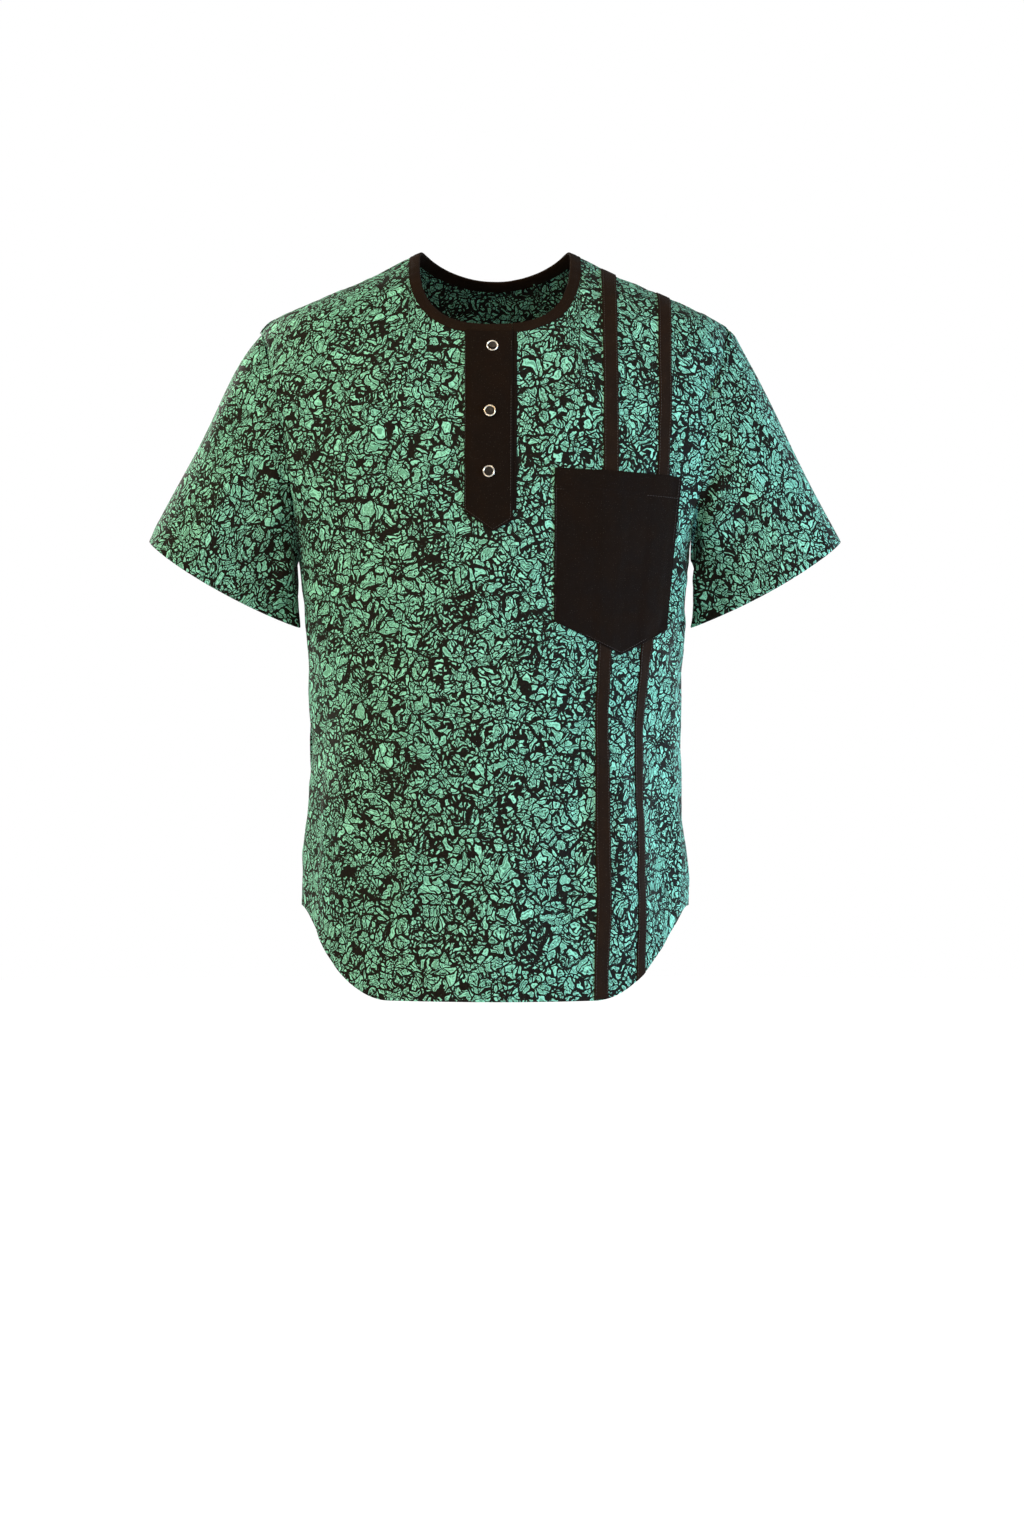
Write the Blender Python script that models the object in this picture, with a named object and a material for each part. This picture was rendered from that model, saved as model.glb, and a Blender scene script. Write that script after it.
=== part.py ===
"""A short-sleeved pullover tunic in crackle print cotton, hollow and in the pose it has when worn.

Metres. +X is the wearer's left, -Y the front, +Z up. The origin lies midway between the two neck
points, at the height of the shoulder line there.

The cloth follows a smooth form made of level sections. Front and back are sheets of columns and rows
on that form, the sleeves run from the armholes to the cuffs, and the dark pieces are cut from the
front's own sheet and moved out.
"""
import math

import bmesh
import bpy
import numpy as np
from mathutils import Vector
from mathutils.bvhtree import BVHTree

# Cloth thickness and the gap kept at seams
PANEL_WALL = 0.0015
BAND_WALL = 0.0010
UNDERLAP_WALL = 0.0010
PLACKET_WALL = 0.0012
POCKET_WALL = 0.0012
SEAM_GAP = 0.0003
REST_GAP = 0.00035

# Points closer than these are one point, or lie on a cut already
WELD_DISTANCE = 0.000001
CUT_SNAP = 0.0004

# Levels of the body
HEM_Z = -0.729
HEM_SIDE_Z = -0.642
HEM_LIFT_TOP_Z = -0.420
HEM_CENTRE = -1.0
HEM_ROUND_START = 0.10
HEM_ROUND_SPAN = 0.56
ARMPIT_Z = -0.300
YOKE_Z = -0.150
ARMHOLE_SCOOP = 0.625

# Neck and shoulders
NECK_HALF_WIDTH = 0.084
NECK_POINT_Y = -0.018
NECK_FRONT_Z = -0.0845
NECK_FRONT_ROUNDNESS = 2.6
NECK_BACK_RISE = 0.076
SHOULDER_TIP_X = 0.2345
SHOULDER_TIP_Y = -0.009

# Sleeves
SLEEVE_SEAM_SHIFT = 0.0006
CUFF_INNER = Vector((0.1952, 0.002, -0.365))
CUFF_OUTER = Vector((0.3450, 0.002, -0.279))
CUFF_HALF_DEPTH = 0.060
CUFF_PINCH = 0.55
CUFF_TILT = 0.12
CUFF_SAG = 0.005
SLEEVE_CELLS = 8
SLEEVE_CELL_GROWTH = 1.15
SLEEVE_LEAN = (0.35, 0.80)
SLEEVE_START_PULL = (0.30, 0.55)
SLEEVE_END_PULL = 0.90

# Neck binding
BINDING_WIDTH = 0.0097
BINDING_PROUD = 0.0008
BINDING_WALL = 0.0024
BINDING_SLIT = 0.0006

# Placket: its free edge is towards the wearer's left
UNDERLAP_FOOT_Z = -0.262
PLACKET_OUTLINE = ((-0.0300, -0.2593), (-0.0012, -0.2797), (0.0180, -0.2689))
PLACKET_FOLD_Z = -0.270
PLACKET_TIP_Z = -0.280

# Pocket corners (x, z), clockwise from the front
POCKET_OUTLINE = (
    (0.0578, -0.2175), (0.1823, -0.2224), (0.1678, -0.3710), (0.1229, -0.3964), (0.0571, -0.3654),
)

# Ring snaps: x and z of each centre
SNAP_PLACES = ((-0.0020, -0.0985), (-0.0043, -0.1630), (-0.0052, -0.2220))
SNAP_RADIUS = 0.00575
SNAP_RING_WIDTH = 0.0017
SNAP_RING_HEIGHT = 0.0012
SNAP_CAP_HEIGHT = 0.0009
SNAP_SIDES = 20

# The form: z, half width, depth in front, depth behind
SECTIONS = (
    (0.010, 0.0700, 0.018, 0.014),
    (0.004, 0.0840, 0.032, 0.028),
    (-0.018, 0.1270, 0.056, 0.058),
    (-0.042, 0.1840, 0.073, 0.082),
    (-0.066, 0.2300, 0.087, 0.103),
    (-0.084, 0.2410, 0.097, 0.115),
    (-0.127, 0.2440, 0.112, 0.130),
    (-0.194, 0.2390, 0.124, 0.142),
    (-0.250, 0.2140, 0.130, 0.142),
    (-0.300, 0.1945, 0.132, 0.138),
    (-0.378, 0.1890, 0.131, 0.130),
    (-0.478, 0.1840, 0.130, 0.125),
    (-0.558, 0.1880, 0.131, 0.128),
    (-0.642, 0.1942, 0.134, 0.134),
    (-0.740, 0.1967, 0.137, 0.138),
)

# Lines that run from hem to shoulder: name, angle from the middle at the chest and at the hem, place
# on the top edge (1 is a neck point, 2 a shoulder tip), and cells up to the next line
LINES = (
    ("right_side", -90.0, -90.0, -2.0, 8),
    ("right_neck_point", -28.5, -25.5, -1.0, 6),
    ("placket_left", -8.7, -8.2, -0.158, 1),
    ("underlap_left", -7.2, -6.8, -0.126, 1),
    ("placket_middle", -1.6, -1.5, -0.016, 1),
    ("placket_right", 5.25, 5.0, 0.086, 1),
    ("underlap_right", 6.1, 5.8, 0.112, 3),
    ("pocket_inner", 17.2, 16.0, 0.467, 4),
    ("left_neck_point", 28.5, 25.5, 1.0, 1),
    ("inner_band_in", 32.8, 29.1, 1.141, 1),
    ("inner_band_out", 37.6, 33.7, 1.238, 2),
    ("outer_band_in", 50.7, 43.65, 1.508, 1),
    ("outer_band_out", 56.1, 47.4, 1.595, 1),
    ("pocket_outer", 64.1, 57.0, 1.704, 3),
    ("left_side", 90.0, 90.0, 2.0, 0),
)

# Cells in the three stretches of a panel: hem to armpit, armpit to yoke, yoke to top edge
STRETCH_CELLS = (10, 5, 6)

# Soft folds: panel (-1 front, 1 back), angle, half width in degrees, height, lowest and highest z
FOLDS = (
    (-1, 36.0, 15.0, 0.0070, -0.790, -0.370),
    (-1, 59.0, 13.0, -0.0055, -0.780, -0.340),
    (-1, -50.0, 17.0, 0.0045, -0.790, -0.400),
    (-1, -70.0, 12.0, -0.0030, -0.770, -0.420),
    (-1, 4.0, 18.0, 0.0025, -0.800, -0.450),
    (1, -38.0, 18.0, 0.0060, -0.790, -0.330),
    (1, -10.0, 16.0, -0.0045, -0.800, -0.300),
    (1, 30.0, 20.0, 0.0055, -0.790, -0.360),
    (1, 62.0, 14.0, -0.0035, -0.770, -0.380),
)

# Colour (linear), roughness and metallic value
FINISHES = {
    "print_cloth": ((0.14, 0.42, 0.27), 0.75, 0.0),
    "dark_cotton": ((0.012, 0.009, 0.007), 0.80, 0.0),
    "snap_metal": ((0.62, 0.60, 0.56), 0.28, 1.0),
    "snap_cap": ((0.015, 0.013, 0.012), 0.22, 0.0),
}

FRONT = -1
BACK = 1


def smooth_curve(places, values):
    """A curve through the points that never overshoots between them, as a function of place."""
    order = np.argsort(places)
    x = np.asarray(places, float)[order]
    y = np.asarray(values, float)[order]
    step = np.diff(x)
    slope = np.diff(y) / step
    tangent = np.zeros(len(x))
    tangent[0] = slope[0]
    tangent[-1] = slope[-1]
    for i in range(1, len(x) - 1):
        if slope[i - 1] * slope[i] > 0.0:
            before = 2.0 * step[i] + step[i - 1]
            after = step[i] + 2.0 * step[i - 1]
            tangent[i] = (before + after) / (before / slope[i - 1] + after / slope[i])

    def curve(place):
        place = np.clip(place, x[0], x[-1])
        i = np.clip(np.searchsorted(x, place) - 1, 0, len(step) - 1)
        t = (place - x[i]) / step[i]
        start = (1.0 + 2.0 * t) * (1.0 - t) ** 2 * y[i] + t * (1.0 - t) ** 2 * step[i] * tangent[i]
        end = t * t * (3.0 - 2.0 * t) * y[i + 1] + t * t * (t - 1.0) * step[i] * tangent[i + 1]
        return start + end

    return curve


LEVELS = [row[0] for row in SECTIONS]
half_width = smooth_curve(LEVELS, [row[1] for row in SECTIONS])
front_depth = smooth_curve(LEVELS, [row[2] for row in SECTIONS])
back_depth = smooth_curve(LEVELS, [row[3] for row in SECTIONS])


def smoothstep(t):
    t = np.clip(t, 0.0, 1.0)
    return t * t * (3.0 - 2.0 * t)


def blend(a, b, t):
    return a + (b - a) * t


def unit(vectors):
    return vectors / np.linalg.norm(vectors, axis=-1, keepdims=True)


def depth(y, z):
    """The form's depth on the side where y lies."""
    return np.where(y < 0.0, front_depth(z), back_depth(z))


def excess(x, y, z):
    """Below zero inside the form and above zero outside it."""
    return (x / half_width(z)) ** 2 + (y / depth(y, z)) ** 2 - 1.0


def halving(outside, low, high, rounds=40):
    """The value between low, which is inside, and high at which outside() turns positive."""
    low = np.array(low, float)
    high = np.array(high, float)
    for _ in range(rounds):
        middle = 0.5 * (low + high)
        out = outside(middle) > 0.0
        high = np.where(out, middle, high)
        low = np.where(out, low, middle)
    return 0.5 * (low + high)


def form_outward(points):
    """Unit vectors that point straight out of the form."""
    x, y, z = np.moveaxis(points, -1, 0)
    width = half_width(z)
    deep = depth(y, z)
    step = 0.001
    rise = (excess(x, y, z + step) - excess(x, y, z - step)) / (2.0 * step)
    return unit(np.stack([2.0 * x / width ** 2, 2.0 * y / deep ** 2, rise], axis=-1))


def form_height(x, y):
    """Height of the form's upper side over a place in plan."""
    top = SECTIONS[0][0]
    return halving(lambda z: excess(x, y, z), np.full(np.shape(x), YOKE_Z), np.full(np.shape(x), top))


NECK_POINT_Z = float(form_height(np.array(NECK_HALF_WIDTH), np.array(NECK_POINT_Y)))


def top_edge(facing, top):
    """Points of a panel's top edge: the neckline up to 1, then the shoulder seam up to 2."""
    side = np.sign(top)
    turn = np.radians(90.0 * np.minimum(np.abs(top), 1.0))
    if facing == FRONT:
        power = 2.0 / NECK_FRONT_ROUNDNESS
        neck_x = NECK_HALF_WIDTH * np.sin(turn) ** power
        drop = NECK_POINT_Z - NECK_FRONT_Z
        neck_z = NECK_POINT_Z - drop * np.clip(np.cos(turn), 0.0, 1.0) ** power
        across = np.sqrt(np.clip(1.0 - (neck_x / half_width(neck_z)) ** 2, 0.0, 1.0))
        neck_y = -front_depth(neck_z) * across
    else:
        neck_x = NECK_HALF_WIDTH * np.sin(turn)
        neck_y = NECK_POINT_Y + NECK_BACK_RISE * np.cos(turn)
        neck_z = form_height(neck_x, neck_y)
    along = np.clip(np.abs(top) - 1.0, 0.0, 1.0)
    seam_x = blend(NECK_HALF_WIDTH, SHOULDER_TIP_X, along)
    seam_y = blend(NECK_POINT_Y, SHOULDER_TIP_Y, along)
    seam_z = form_height(seam_x, seam_y)
    neck = np.stack([side * neck_x, neck_y, neck_z], axis=-1)
    seam = np.stack([side * seam_x, seam_y, seam_z], axis=-1)
    return np.where((np.abs(top) > 1.0)[..., None], seam, neck)


def hem_height(angle):
    """The shirt-tail hem: low in the middle, and rounded up to the side seams."""
    inward = (90.0 - np.abs(angle - HEM_CENTRE)) / 90.0
    return blend(HEM_SIDE_Z, HEM_Z, smoothstep((inward - HEM_ROUND_START) / HEM_ROUND_SPAN))


def below_armpit(facing, chest, hem, t):
    nominal = blend(HEM_Z, ARMPIT_Z, t)
    lift = smoothstep((HEM_LIFT_TOP_Z - nominal) / (HEM_LIFT_TOP_Z - HEM_Z))
    z = nominal + (hem_height(hem) - HEM_Z) * lift
    angle = np.radians(blend(chest, hem, (ARMPIT_Z - z) / (ARMPIT_Z - HEM_Z)))
    across = half_width(z) * np.sin(angle)
    deep = facing * depth(facing, z) * np.cos(angle)
    return np.stack([across, deep, z], axis=-1)


def yoke_x(chest, end):
    """Where a line crosses the yoke level: outer lines still lie well inside the shoulder tip there."""
    start = half_width(ARMPIT_Z) * np.sin(np.radians(chest))
    outer = (np.abs(chest) / 90.0) ** 4
    return start, blend(start, end, 1.0 - ARMHOLE_SCOOP * outer), outer


def above_armpit(facing, chest, end, t):
    start, crossing, outer = yoke_x(chest, end)
    z = np.full(np.shape(chest), blend(ARMPIT_Z, YOKE_Z, t))
    x = start + (crossing - start) * (t + (1.0 - outer) * t * (1.0 - t))
    across = np.sqrt(np.clip(1.0 - (x / half_width(z)) ** 2, 0.0, 1.0))
    return np.stack([x, facing * depth(facing, z) * across, z], axis=-1)


def over_shoulder(facing, chest, edge, t):
    """From the yoke level to the top edge, turning about a level axis across the shoulders."""
    _, crossing, _ = yoke_x(chest, edge[..., 0])
    x = blend(crossing, edge[..., 0], t)
    last = np.arctan2(edge[..., 2] - YOKE_Z, -edge[..., 1])
    first = 0.0 if facing == FRONT else math.pi
    turn = blend(first, last, t)
    reach = halving(
        lambda r: excess(x, -r * np.cos(turn), YOKE_Z + r * np.sin(turn)),
        np.zeros(np.shape(turn)),
        np.full(np.shape(turn), 0.2),
    )
    return np.stack([x, -reach * np.cos(turn), YOKE_Z + reach * np.sin(turn)], axis=-1)


def fold_height(facing, points):
    """How far the soft folds move a place on a panel out of the form."""
    x, y, z = np.moveaxis(points, -1, 0)
    angle = np.degrees(np.arctan2(x / half_width(z), np.abs(y) / depth(facing, z)))
    height = np.zeros(np.shape(z))
    for panel, middle, half, rise, low, high in FOLDS:
        if panel == facing:
            beside = np.clip(np.abs(angle - middle) / half, 0.0, 1.0)
            along = np.clip((z - low) / (high - low), 0.0, 1.0)
            height = height + rise * np.cos(0.5 * math.pi * beside) ** 2 * np.sin(math.pi * along) ** 1.5
    return height


def line_table():
    """Chest angle, hem angle and top place of every column, and the column number of each named line."""
    columns = []
    number = {}
    for line, following in zip(LINES, LINES[1:] + LINES[-1:]):
        name, cells = line[0], line[4]
        start = np.array(line[1:4])
        end = np.array(following[1:4])
        number[name] = len(columns)
        columns += [blend(start, end, i / max(cells, 1)) for i in range(max(cells, 1))]
    return np.array(columns), number


COLUMNS, COLUMN_OF = line_table()


def panel_points(facing):
    """Rows of points from hem to top edge, each with one point for every column."""
    chest, hem, top = COLUMNS.T
    edge = top_edge(facing, top)
    low_cells, middle_cells, high_cells = STRETCH_CELLS
    rows = [below_armpit(facing, chest, hem, i / low_cells) for i in range(low_cells)]
    rows += [above_armpit(facing, chest, edge[:, 0], i / middle_cells) for i in range(middle_cells)]
    rows += [over_shoulder(facing, chest, edge, i / high_cells) for i in range(high_cells + 1)]
    points = np.array(rows)
    return points + fold_height(facing, points)[..., None] * form_outward(points)


def sheet(points, outward):
    """A triangulated sheet of cloth, whose vertices know their column and which way is out."""
    rows, columns = points.shape[:2]
    bm = bmesh.new()
    bmesh.ops.create_grid(bm, x_segments=columns - 1, y_segments=rows - 1, size=0.5)
    out = bm.verts.layers.float_vector.new("outward")
    line = bm.verts.layers.float.new("line")
    bm.verts.layers.float.new("lift")
    for vert in bm.verts:
        column = round((vert.co.x + 0.5) * (columns - 1))
        row = round((vert.co.y + 0.5) * (rows - 1))
        vert.co = points[row, column]
        vert[out] = outward[row, column]
        vert[line] = column
    bmesh.ops.triangulate(bm, faces=bm.faces[:], quad_method="SHORT_EDGE")
    return bm


def make_wall(bm, outer, inner):
    """Give a sheet an outer and an inner face, measured outwards from it, and close its rim."""
    out = bm.verts.layers.float_vector["outward"]
    lift = bm.verts.layers.float["lift"]
    extruded = bmesh.ops.extrude_face_region(bm, geom=bm.faces[:], use_keep_orig=True)
    inside = {item for item in extruded["geom"] if isinstance(item, bmesh.types.BMVert)}
    for vert in bm.verts:
        distance = vert[lift] + (inner if vert in inside else outer)
        vert.co += distance * vert[out].normalized()
    bmesh.ops.triangulate(bm, faces=bm.faces[:])
    bmesh.ops.recalc_face_normals(bm, faces=bm.faces[:])


def keep_columns(bm, first, last):
    """Keep the strip of a sheet between two named lines."""
    line = bm.verts.layers.float["line"]
    low = COLUMN_OF[first]
    high = COLUMN_OF[last]
    beyond = [f for f in bm.faces if not low < sum(v[line] for v in f.verts) / len(f.verts) < high]
    bmesh.ops.delete(bm, geom=beyond, context="FACES")


def trim(bm, start, end):
    """Cut a sheet along the line through two (x, z) points and keep what lies to the right of it."""
    along = Vector((end[0] - start[0], 0.0, end[1] - start[1]))
    left = Vector((-along.z, 0.0, along.x)).normalized()
    parts = bm.verts[:] + bm.edges[:] + bm.faces[:]
    bmesh.ops.bisect_plane(
        bm, geom=parts, dist=CUT_SNAP, plane_co=(start[0], 0.0, start[1]), plane_no=left, clear_outer=True)


def raise_over(bm, lifts):
    """Lift a sheet over what lies under it, by the amounts given at some columns."""
    line = bm.verts.layers.float["line"]
    lift = bm.verts.layers.float["lift"]
    places = [place for place, _ in lifts]
    heights = [height for _, height in lifts]
    for vert in bm.verts:
        vert[lift] = float(np.interp(vert[line], places, heights))


def finish(name, bm, finish_name, root):
    """Turn a bmesh into a named object with its own material."""
    mesh = bpy.data.meshes.new(name)
    bm.to_mesh(mesh)
    bm.free()
    colour, roughness, metallic = FINISHES[finish_name]
    material = bpy.data.materials.new(name)
    material.use_nodes = True
    shader = material.node_tree.nodes["Principled BSDF"]
    shader.inputs["Base Color"].default_value = (*colour, 1.0)
    shader.inputs["Roughness"].default_value = roughness
    shader.inputs["Metallic"].default_value = metallic
    mesh.materials.append(material)
    piece = bpy.data.objects.new(name, mesh)
    piece.parent = root
    bpy.context.scene.collection.objects.link(piece)
    return piece


def add_panels(front_points, back_points, root):
    for name, points in (("front", front_points), ("back", back_points)):
        bm = sheet(points, form_outward(points))
        make_wall(bm, 0.0, -PANEL_WALL)
        if name == "back":
            bmesh.ops.translate(bm, vec=(0.0, SEAM_GAP, 0.0), verts=bm.verts[:])
        finish(name, bm, "print_cloth", root)


def add_bands(front_points, root):
    for name in ("inner", "outer"):
        bm = sheet(front_points, form_outward(front_points))
        keep_columns(bm, f"{name}_band_in", f"{name}_band_out")
        make_wall(bm, REST_GAP + BAND_WALL, REST_GAP)
        finish(f"band_{name}", bm, "dark_cotton", root)


def add_pocket(front_points, root):
    """The patch pocket lies on the front, and steps up over the two bands."""
    over_band = REST_GAP + BAND_WALL
    lifts = [(COLUMN_OF["pocket_inner"], 0.0)]
    for name in ("inner", "outer"):
        first = COLUMN_OF[f"{name}_band_in"]
        last = COLUMN_OF[f"{name}_band_out"]
        lifts += [(first - 1, 0.0), (first, over_band), (last, over_band), (last + 1, 0.0)]
    bm = sheet(front_points, form_outward(front_points))
    raise_over(bm, lifts)
    for start, end in zip(POCKET_OUTLINE, POCKET_OUTLINE[1:] + POCKET_OUTLINE[:1]):
        trim(bm, start, end)
    make_wall(bm, REST_GAP + POCKET_WALL, REST_GAP)
    finish("pocket", bm, "dark_cotton", root)


def add_placket(front_points, root):
    """Two layers: the underlap peeps out along the free edge of the pointed top layer."""
    under = sheet(front_points, form_outward(front_points))
    keep_columns(under, "underlap_left", "underlap_right")
    trim(under, (1.0, UNDERLAP_FOOT_Z), (-1.0, UNDERLAP_FOOT_Z))
    make_wall(under, REST_GAP + UNDERLAP_WALL, REST_GAP)
    finish("placket_under", under, "dark_cotton", root)

    over = sheet(front_points, form_outward(front_points))
    keep_columns(over, "placket_left", "placket_right")
    over_underlap = REST_GAP + UNDERLAP_WALL
    raise_over(over, [(COLUMN_OF["placket_left"], 0.0), (COLUMN_OF["underlap_left"], over_underlap)])
    left, tip, right = PLACKET_OUTLINE
    trim(over, right, tip)
    trim(over, tip, left)
    lift = over.verts.layers.float["lift"]
    for vert in over.verts:
        raised = (vert.co.z - PLACKET_TIP_Z) / (PLACKET_FOLD_Z - PLACKET_TIP_Z)
        vert[lift] *= min(max(raised, 0.0), 1.0)
    make_wall(over, REST_GAP + PLACKET_WALL, REST_GAP)
    return finish("placket_over", over, "dark_cotton", root)


def turned(profile, sides):
    """Spin a profile of (radius, height) corners about the vertical axis."""
    bm = bmesh.new()
    corners = [bm.verts.new((radius, 0.0, height)) for radius, height in profile]
    edges = [bm.edges.new(pair) for pair in zip(corners, corners[1:])]
    bmesh.ops.spin(
        bm, geom=corners + edges, cent=(0.0, 0.0, 0.0), axis=(0.0, 0.0, 1.0),
        angle=2.0 * math.pi, steps=sides, use_merge=True)
    bmesh.ops.remove_doubles(bm, verts=bm.verts[:], dist=WELD_DISTANCE)
    bmesh.ops.recalc_face_normals(bm, faces=bm.faces[:])
    return bm


def add_snaps(placket, root):
    """Ring snaps, each seated on the placket's own surface: a metal rim round a dark cap."""
    surface = BVHTree.FromPolygons(
        [v.co[:] for v in placket.data.vertices], [p.vertices[:] for p in placket.data.polygons])
    inner = SNAP_RADIUS - SNAP_RING_WIDTH
    soft = 0.25 * SNAP_RING_WIDTH
    shoulder = 0.6 * SNAP_RING_HEIGHT
    ring = (
        (inner, 0.0), (SNAP_RADIUS, 0.0), (SNAP_RADIUS, shoulder),
        (SNAP_RADIUS - soft, SNAP_RING_HEIGHT), (inner + soft, SNAP_RING_HEIGHT),
        (inner, shoulder), (inner, 0.0),
    )
    reach = inner - SEAM_GAP
    cap = (
        (0.0, 0.0), (reach, 0.0), (reach, 0.5 * SNAP_CAP_HEIGHT),
        (0.6 * reach, 0.88 * SNAP_CAP_HEIGHT), (0.0, SNAP_CAP_HEIGHT),
    )
    for number, (x, z) in enumerate(SNAP_PLACES, start=1):
        place, outward, _, _ = surface.ray_cast(Vector((x, -1.0, z)), Vector((0.0, 1.0, 0.0)))
        for name, profile, finish_name in (("ring", ring, "snap_metal"), ("cap", cap, "snap_cap")):
            piece = finish(f"snap_{name}_{number}", turned(profile, SNAP_SIDES), finish_name, root)
            piece.location = place + SEAM_GAP * outward
            piece.rotation_euler = outward.to_track_quat("Z", "Y").to_euler()
            piece.data.shade_smooth()


def add_binding(front_points, back_points, root):
    """A bias strip that stands on the neckline, from the placket's free edge round and back to it."""
    right = COLUMN_OF["right_neck_point"]
    left = COLUMN_OF["left_neck_point"]
    slit = COLUMN_OF["placket_right"]
    front_edge = front_points[-1]
    back_edge = back_points[-1]
    line = np.concatenate([
        front_edge[slit:left + 1],
        back_edge[right + 1:left][::-1],
        front_edge[right:slit + 1],
    ])
    along = np.gradient(line, axis=0)
    outward = form_outward(line)
    upward = unit(np.cross(along, outward))
    upward *= np.sign(upward[:, 2:3])
    line[0] += 0.5 * BINDING_SLIT * unit(along[0])
    line[-1] -= 0.5 * BINDING_SLIT * unit(along[-1])
    points = np.stack([line + REST_GAP * upward, line + (REST_GAP + BINDING_WIDTH) * upward])
    bm = sheet(points, np.stack([outward, outward]))
    make_wall(bm, BINDING_PROUD, BINDING_PROUD - BINDING_WALL)
    finish("neck_binding", bm, "dark_cotton", root)


def cuff_point(turn):
    """A point of the left cuff: turn 0 is its outer tip, a quarter turn its front."""
    middle = np.array((CUFF_INNER + CUFF_OUTER) / 2.0)
    reach = np.array((CUFF_OUTER - CUFF_INNER) / 2.0)
    forward = np.array((0.0, -1.0, -CUFF_TILT))
    cosine = np.cos(turn)[:, None]
    sine = np.sin(turn)[:, None]
    half_depth = CUFF_HALF_DEPTH * (1.0 - CUFF_PINCH * (1.0 - cosine) / 2.0)
    sag = np.array((0.0, 0.0, -CUFF_SAG)) * sine ** 2
    return middle + reach * cosine + forward * half_depth * sine + sag


def sleeve_points(front_points, back_points):
    """Rings of the left sleeve from the armhole to the cuff, each ending on its first point."""
    low = STRETCH_CELLS[0]
    front_edge = front_points[low:, -1][::-1]
    back_edge = back_points[low:, -1]
    hole = np.concatenate([front_edge, back_edge[1:]])
    lengths = np.linalg.norm(np.diff(hole, axis=0), axis=1)
    travelled = np.concatenate([[0.0], np.cumsum(lengths)])
    half = len(front_edge) - 1
    turn = np.where(
        np.arange(len(hole)) <= half,
        math.pi * travelled / travelled[half],
        math.pi + math.pi * (travelled - travelled[half]) / (travelled[-1] - travelled[half]))
    hole = hole + np.array((SLEEVE_SEAM_SHIFT, 0.5 * SEAM_GAP, 0.0))
    cuff = cuff_point(turn)
    chord = cuff - hole
    length = np.linalg.norm(chord, axis=1, keepdims=True)
    under = (1.0 - np.cos(turn)[:, None]) / 2.0
    lean = np.array((1.0, 0.0, 0.0)) * blend(*SLEEVE_LEAN, under)
    leaving = unit(unit(chord) + lean) * length * blend(*SLEEVE_START_PULL, under)
    arriving = chord * SLEEVE_END_PULL
    rows = []
    for i in range(SLEEVE_CELLS + 1):
        t = (i / SLEEVE_CELLS) ** SLEEVE_CELL_GROWTH
        start = (1.0 + 2.0 * t) * (1.0 - t) ** 2 * hole + t * (1.0 - t) ** 2 * leaving
        end = t * t * (3.0 - 2.0 * t) * cuff + t * t * (t - 1.0) * arriving
        rows.append(start + end)
    return np.array(rows)


def tube_outward(points):
    """Unit vectors that point out of a ring-by-ring tube."""
    ring = points[:, :-1]
    around = np.roll(ring, -1, axis=1) - np.roll(ring, 1, axis=1)
    down = np.gradient(ring, axis=0)
    outward = unit(np.cross(around, down))
    centre = ring.mean(axis=1, keepdims=True)
    if np.sum(outward * (ring - centre)) < 0.0:
        outward = -outward
    return np.concatenate([outward, outward[:, :1]], axis=1)


def add_sleeves(front_points, back_points, root):
    left = sleeve_points(front_points, back_points)
    for name, side in (("sleeve_left", 1.0), ("sleeve_right", -1.0)):
        points = left * np.array((side, 1.0, 1.0))
        bm = sheet(points, tube_outward(points))
        bmesh.ops.remove_doubles(bm, verts=bm.verts[:], dist=WELD_DISTANCE)
        make_wall(bm, 0.0, -PANEL_WALL)
        finish(name, bm, "print_cloth", root)


def clear_scene():
    for item in list(bpy.data.objects):
        bpy.data.objects.remove(item, do_unlink=True)


def main():
    clear_scene()
    root = bpy.data.objects.new("shirt", None)
    bpy.context.scene.collection.objects.link(root)
    front_points = panel_points(FRONT)
    back_points = panel_points(BACK)
    add_panels(front_points, back_points, root)
    add_sleeves(front_points, back_points, root)
    add_bands(front_points, root)
    add_pocket(front_points, root)
    placket = add_placket(front_points, root)
    add_snaps(placket, root)
    add_binding(front_points, back_points, root)


main()
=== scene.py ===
"""The looks of a short-sleeved pullover tunic in crackle print cotton, built round its packed CAD frame.

Metres. +X is the wearer's left, -Y the front, +Z up. Every piece of cloth is a thin shell on the form
of its solid, made of level sections. Cloth coordinates, in metres along and across each piece, carry
the print and the weave.
"""

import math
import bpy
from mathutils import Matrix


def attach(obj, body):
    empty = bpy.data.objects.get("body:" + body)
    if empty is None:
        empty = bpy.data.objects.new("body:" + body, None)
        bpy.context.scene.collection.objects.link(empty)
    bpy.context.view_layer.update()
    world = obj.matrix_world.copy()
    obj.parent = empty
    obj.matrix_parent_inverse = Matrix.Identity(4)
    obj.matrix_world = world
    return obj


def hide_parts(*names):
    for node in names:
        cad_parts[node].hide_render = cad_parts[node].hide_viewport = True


bl_info = {
    "name": "African Print Shirt",
    "version": (1, 0, 0),
    "blender": (4, 5, 0),
    "location": "3D View > Sidebar > Shirt",
    "description": "Builds the cloth, trim, snaps and stitching of a crackle print tunic shirt",
    "category": "Object",
}

import bmesh
import bpy
import numpy as np
from mathutils import Matrix, Vector
from mathutils.bvhtree import BVHTree

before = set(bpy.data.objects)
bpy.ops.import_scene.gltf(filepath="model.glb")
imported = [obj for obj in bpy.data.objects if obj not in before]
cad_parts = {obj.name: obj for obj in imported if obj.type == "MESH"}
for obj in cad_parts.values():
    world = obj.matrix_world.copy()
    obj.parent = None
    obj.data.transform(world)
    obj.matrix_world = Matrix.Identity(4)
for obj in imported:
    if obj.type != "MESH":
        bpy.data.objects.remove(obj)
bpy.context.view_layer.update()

FRONT = -1
BACK = 1

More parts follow.
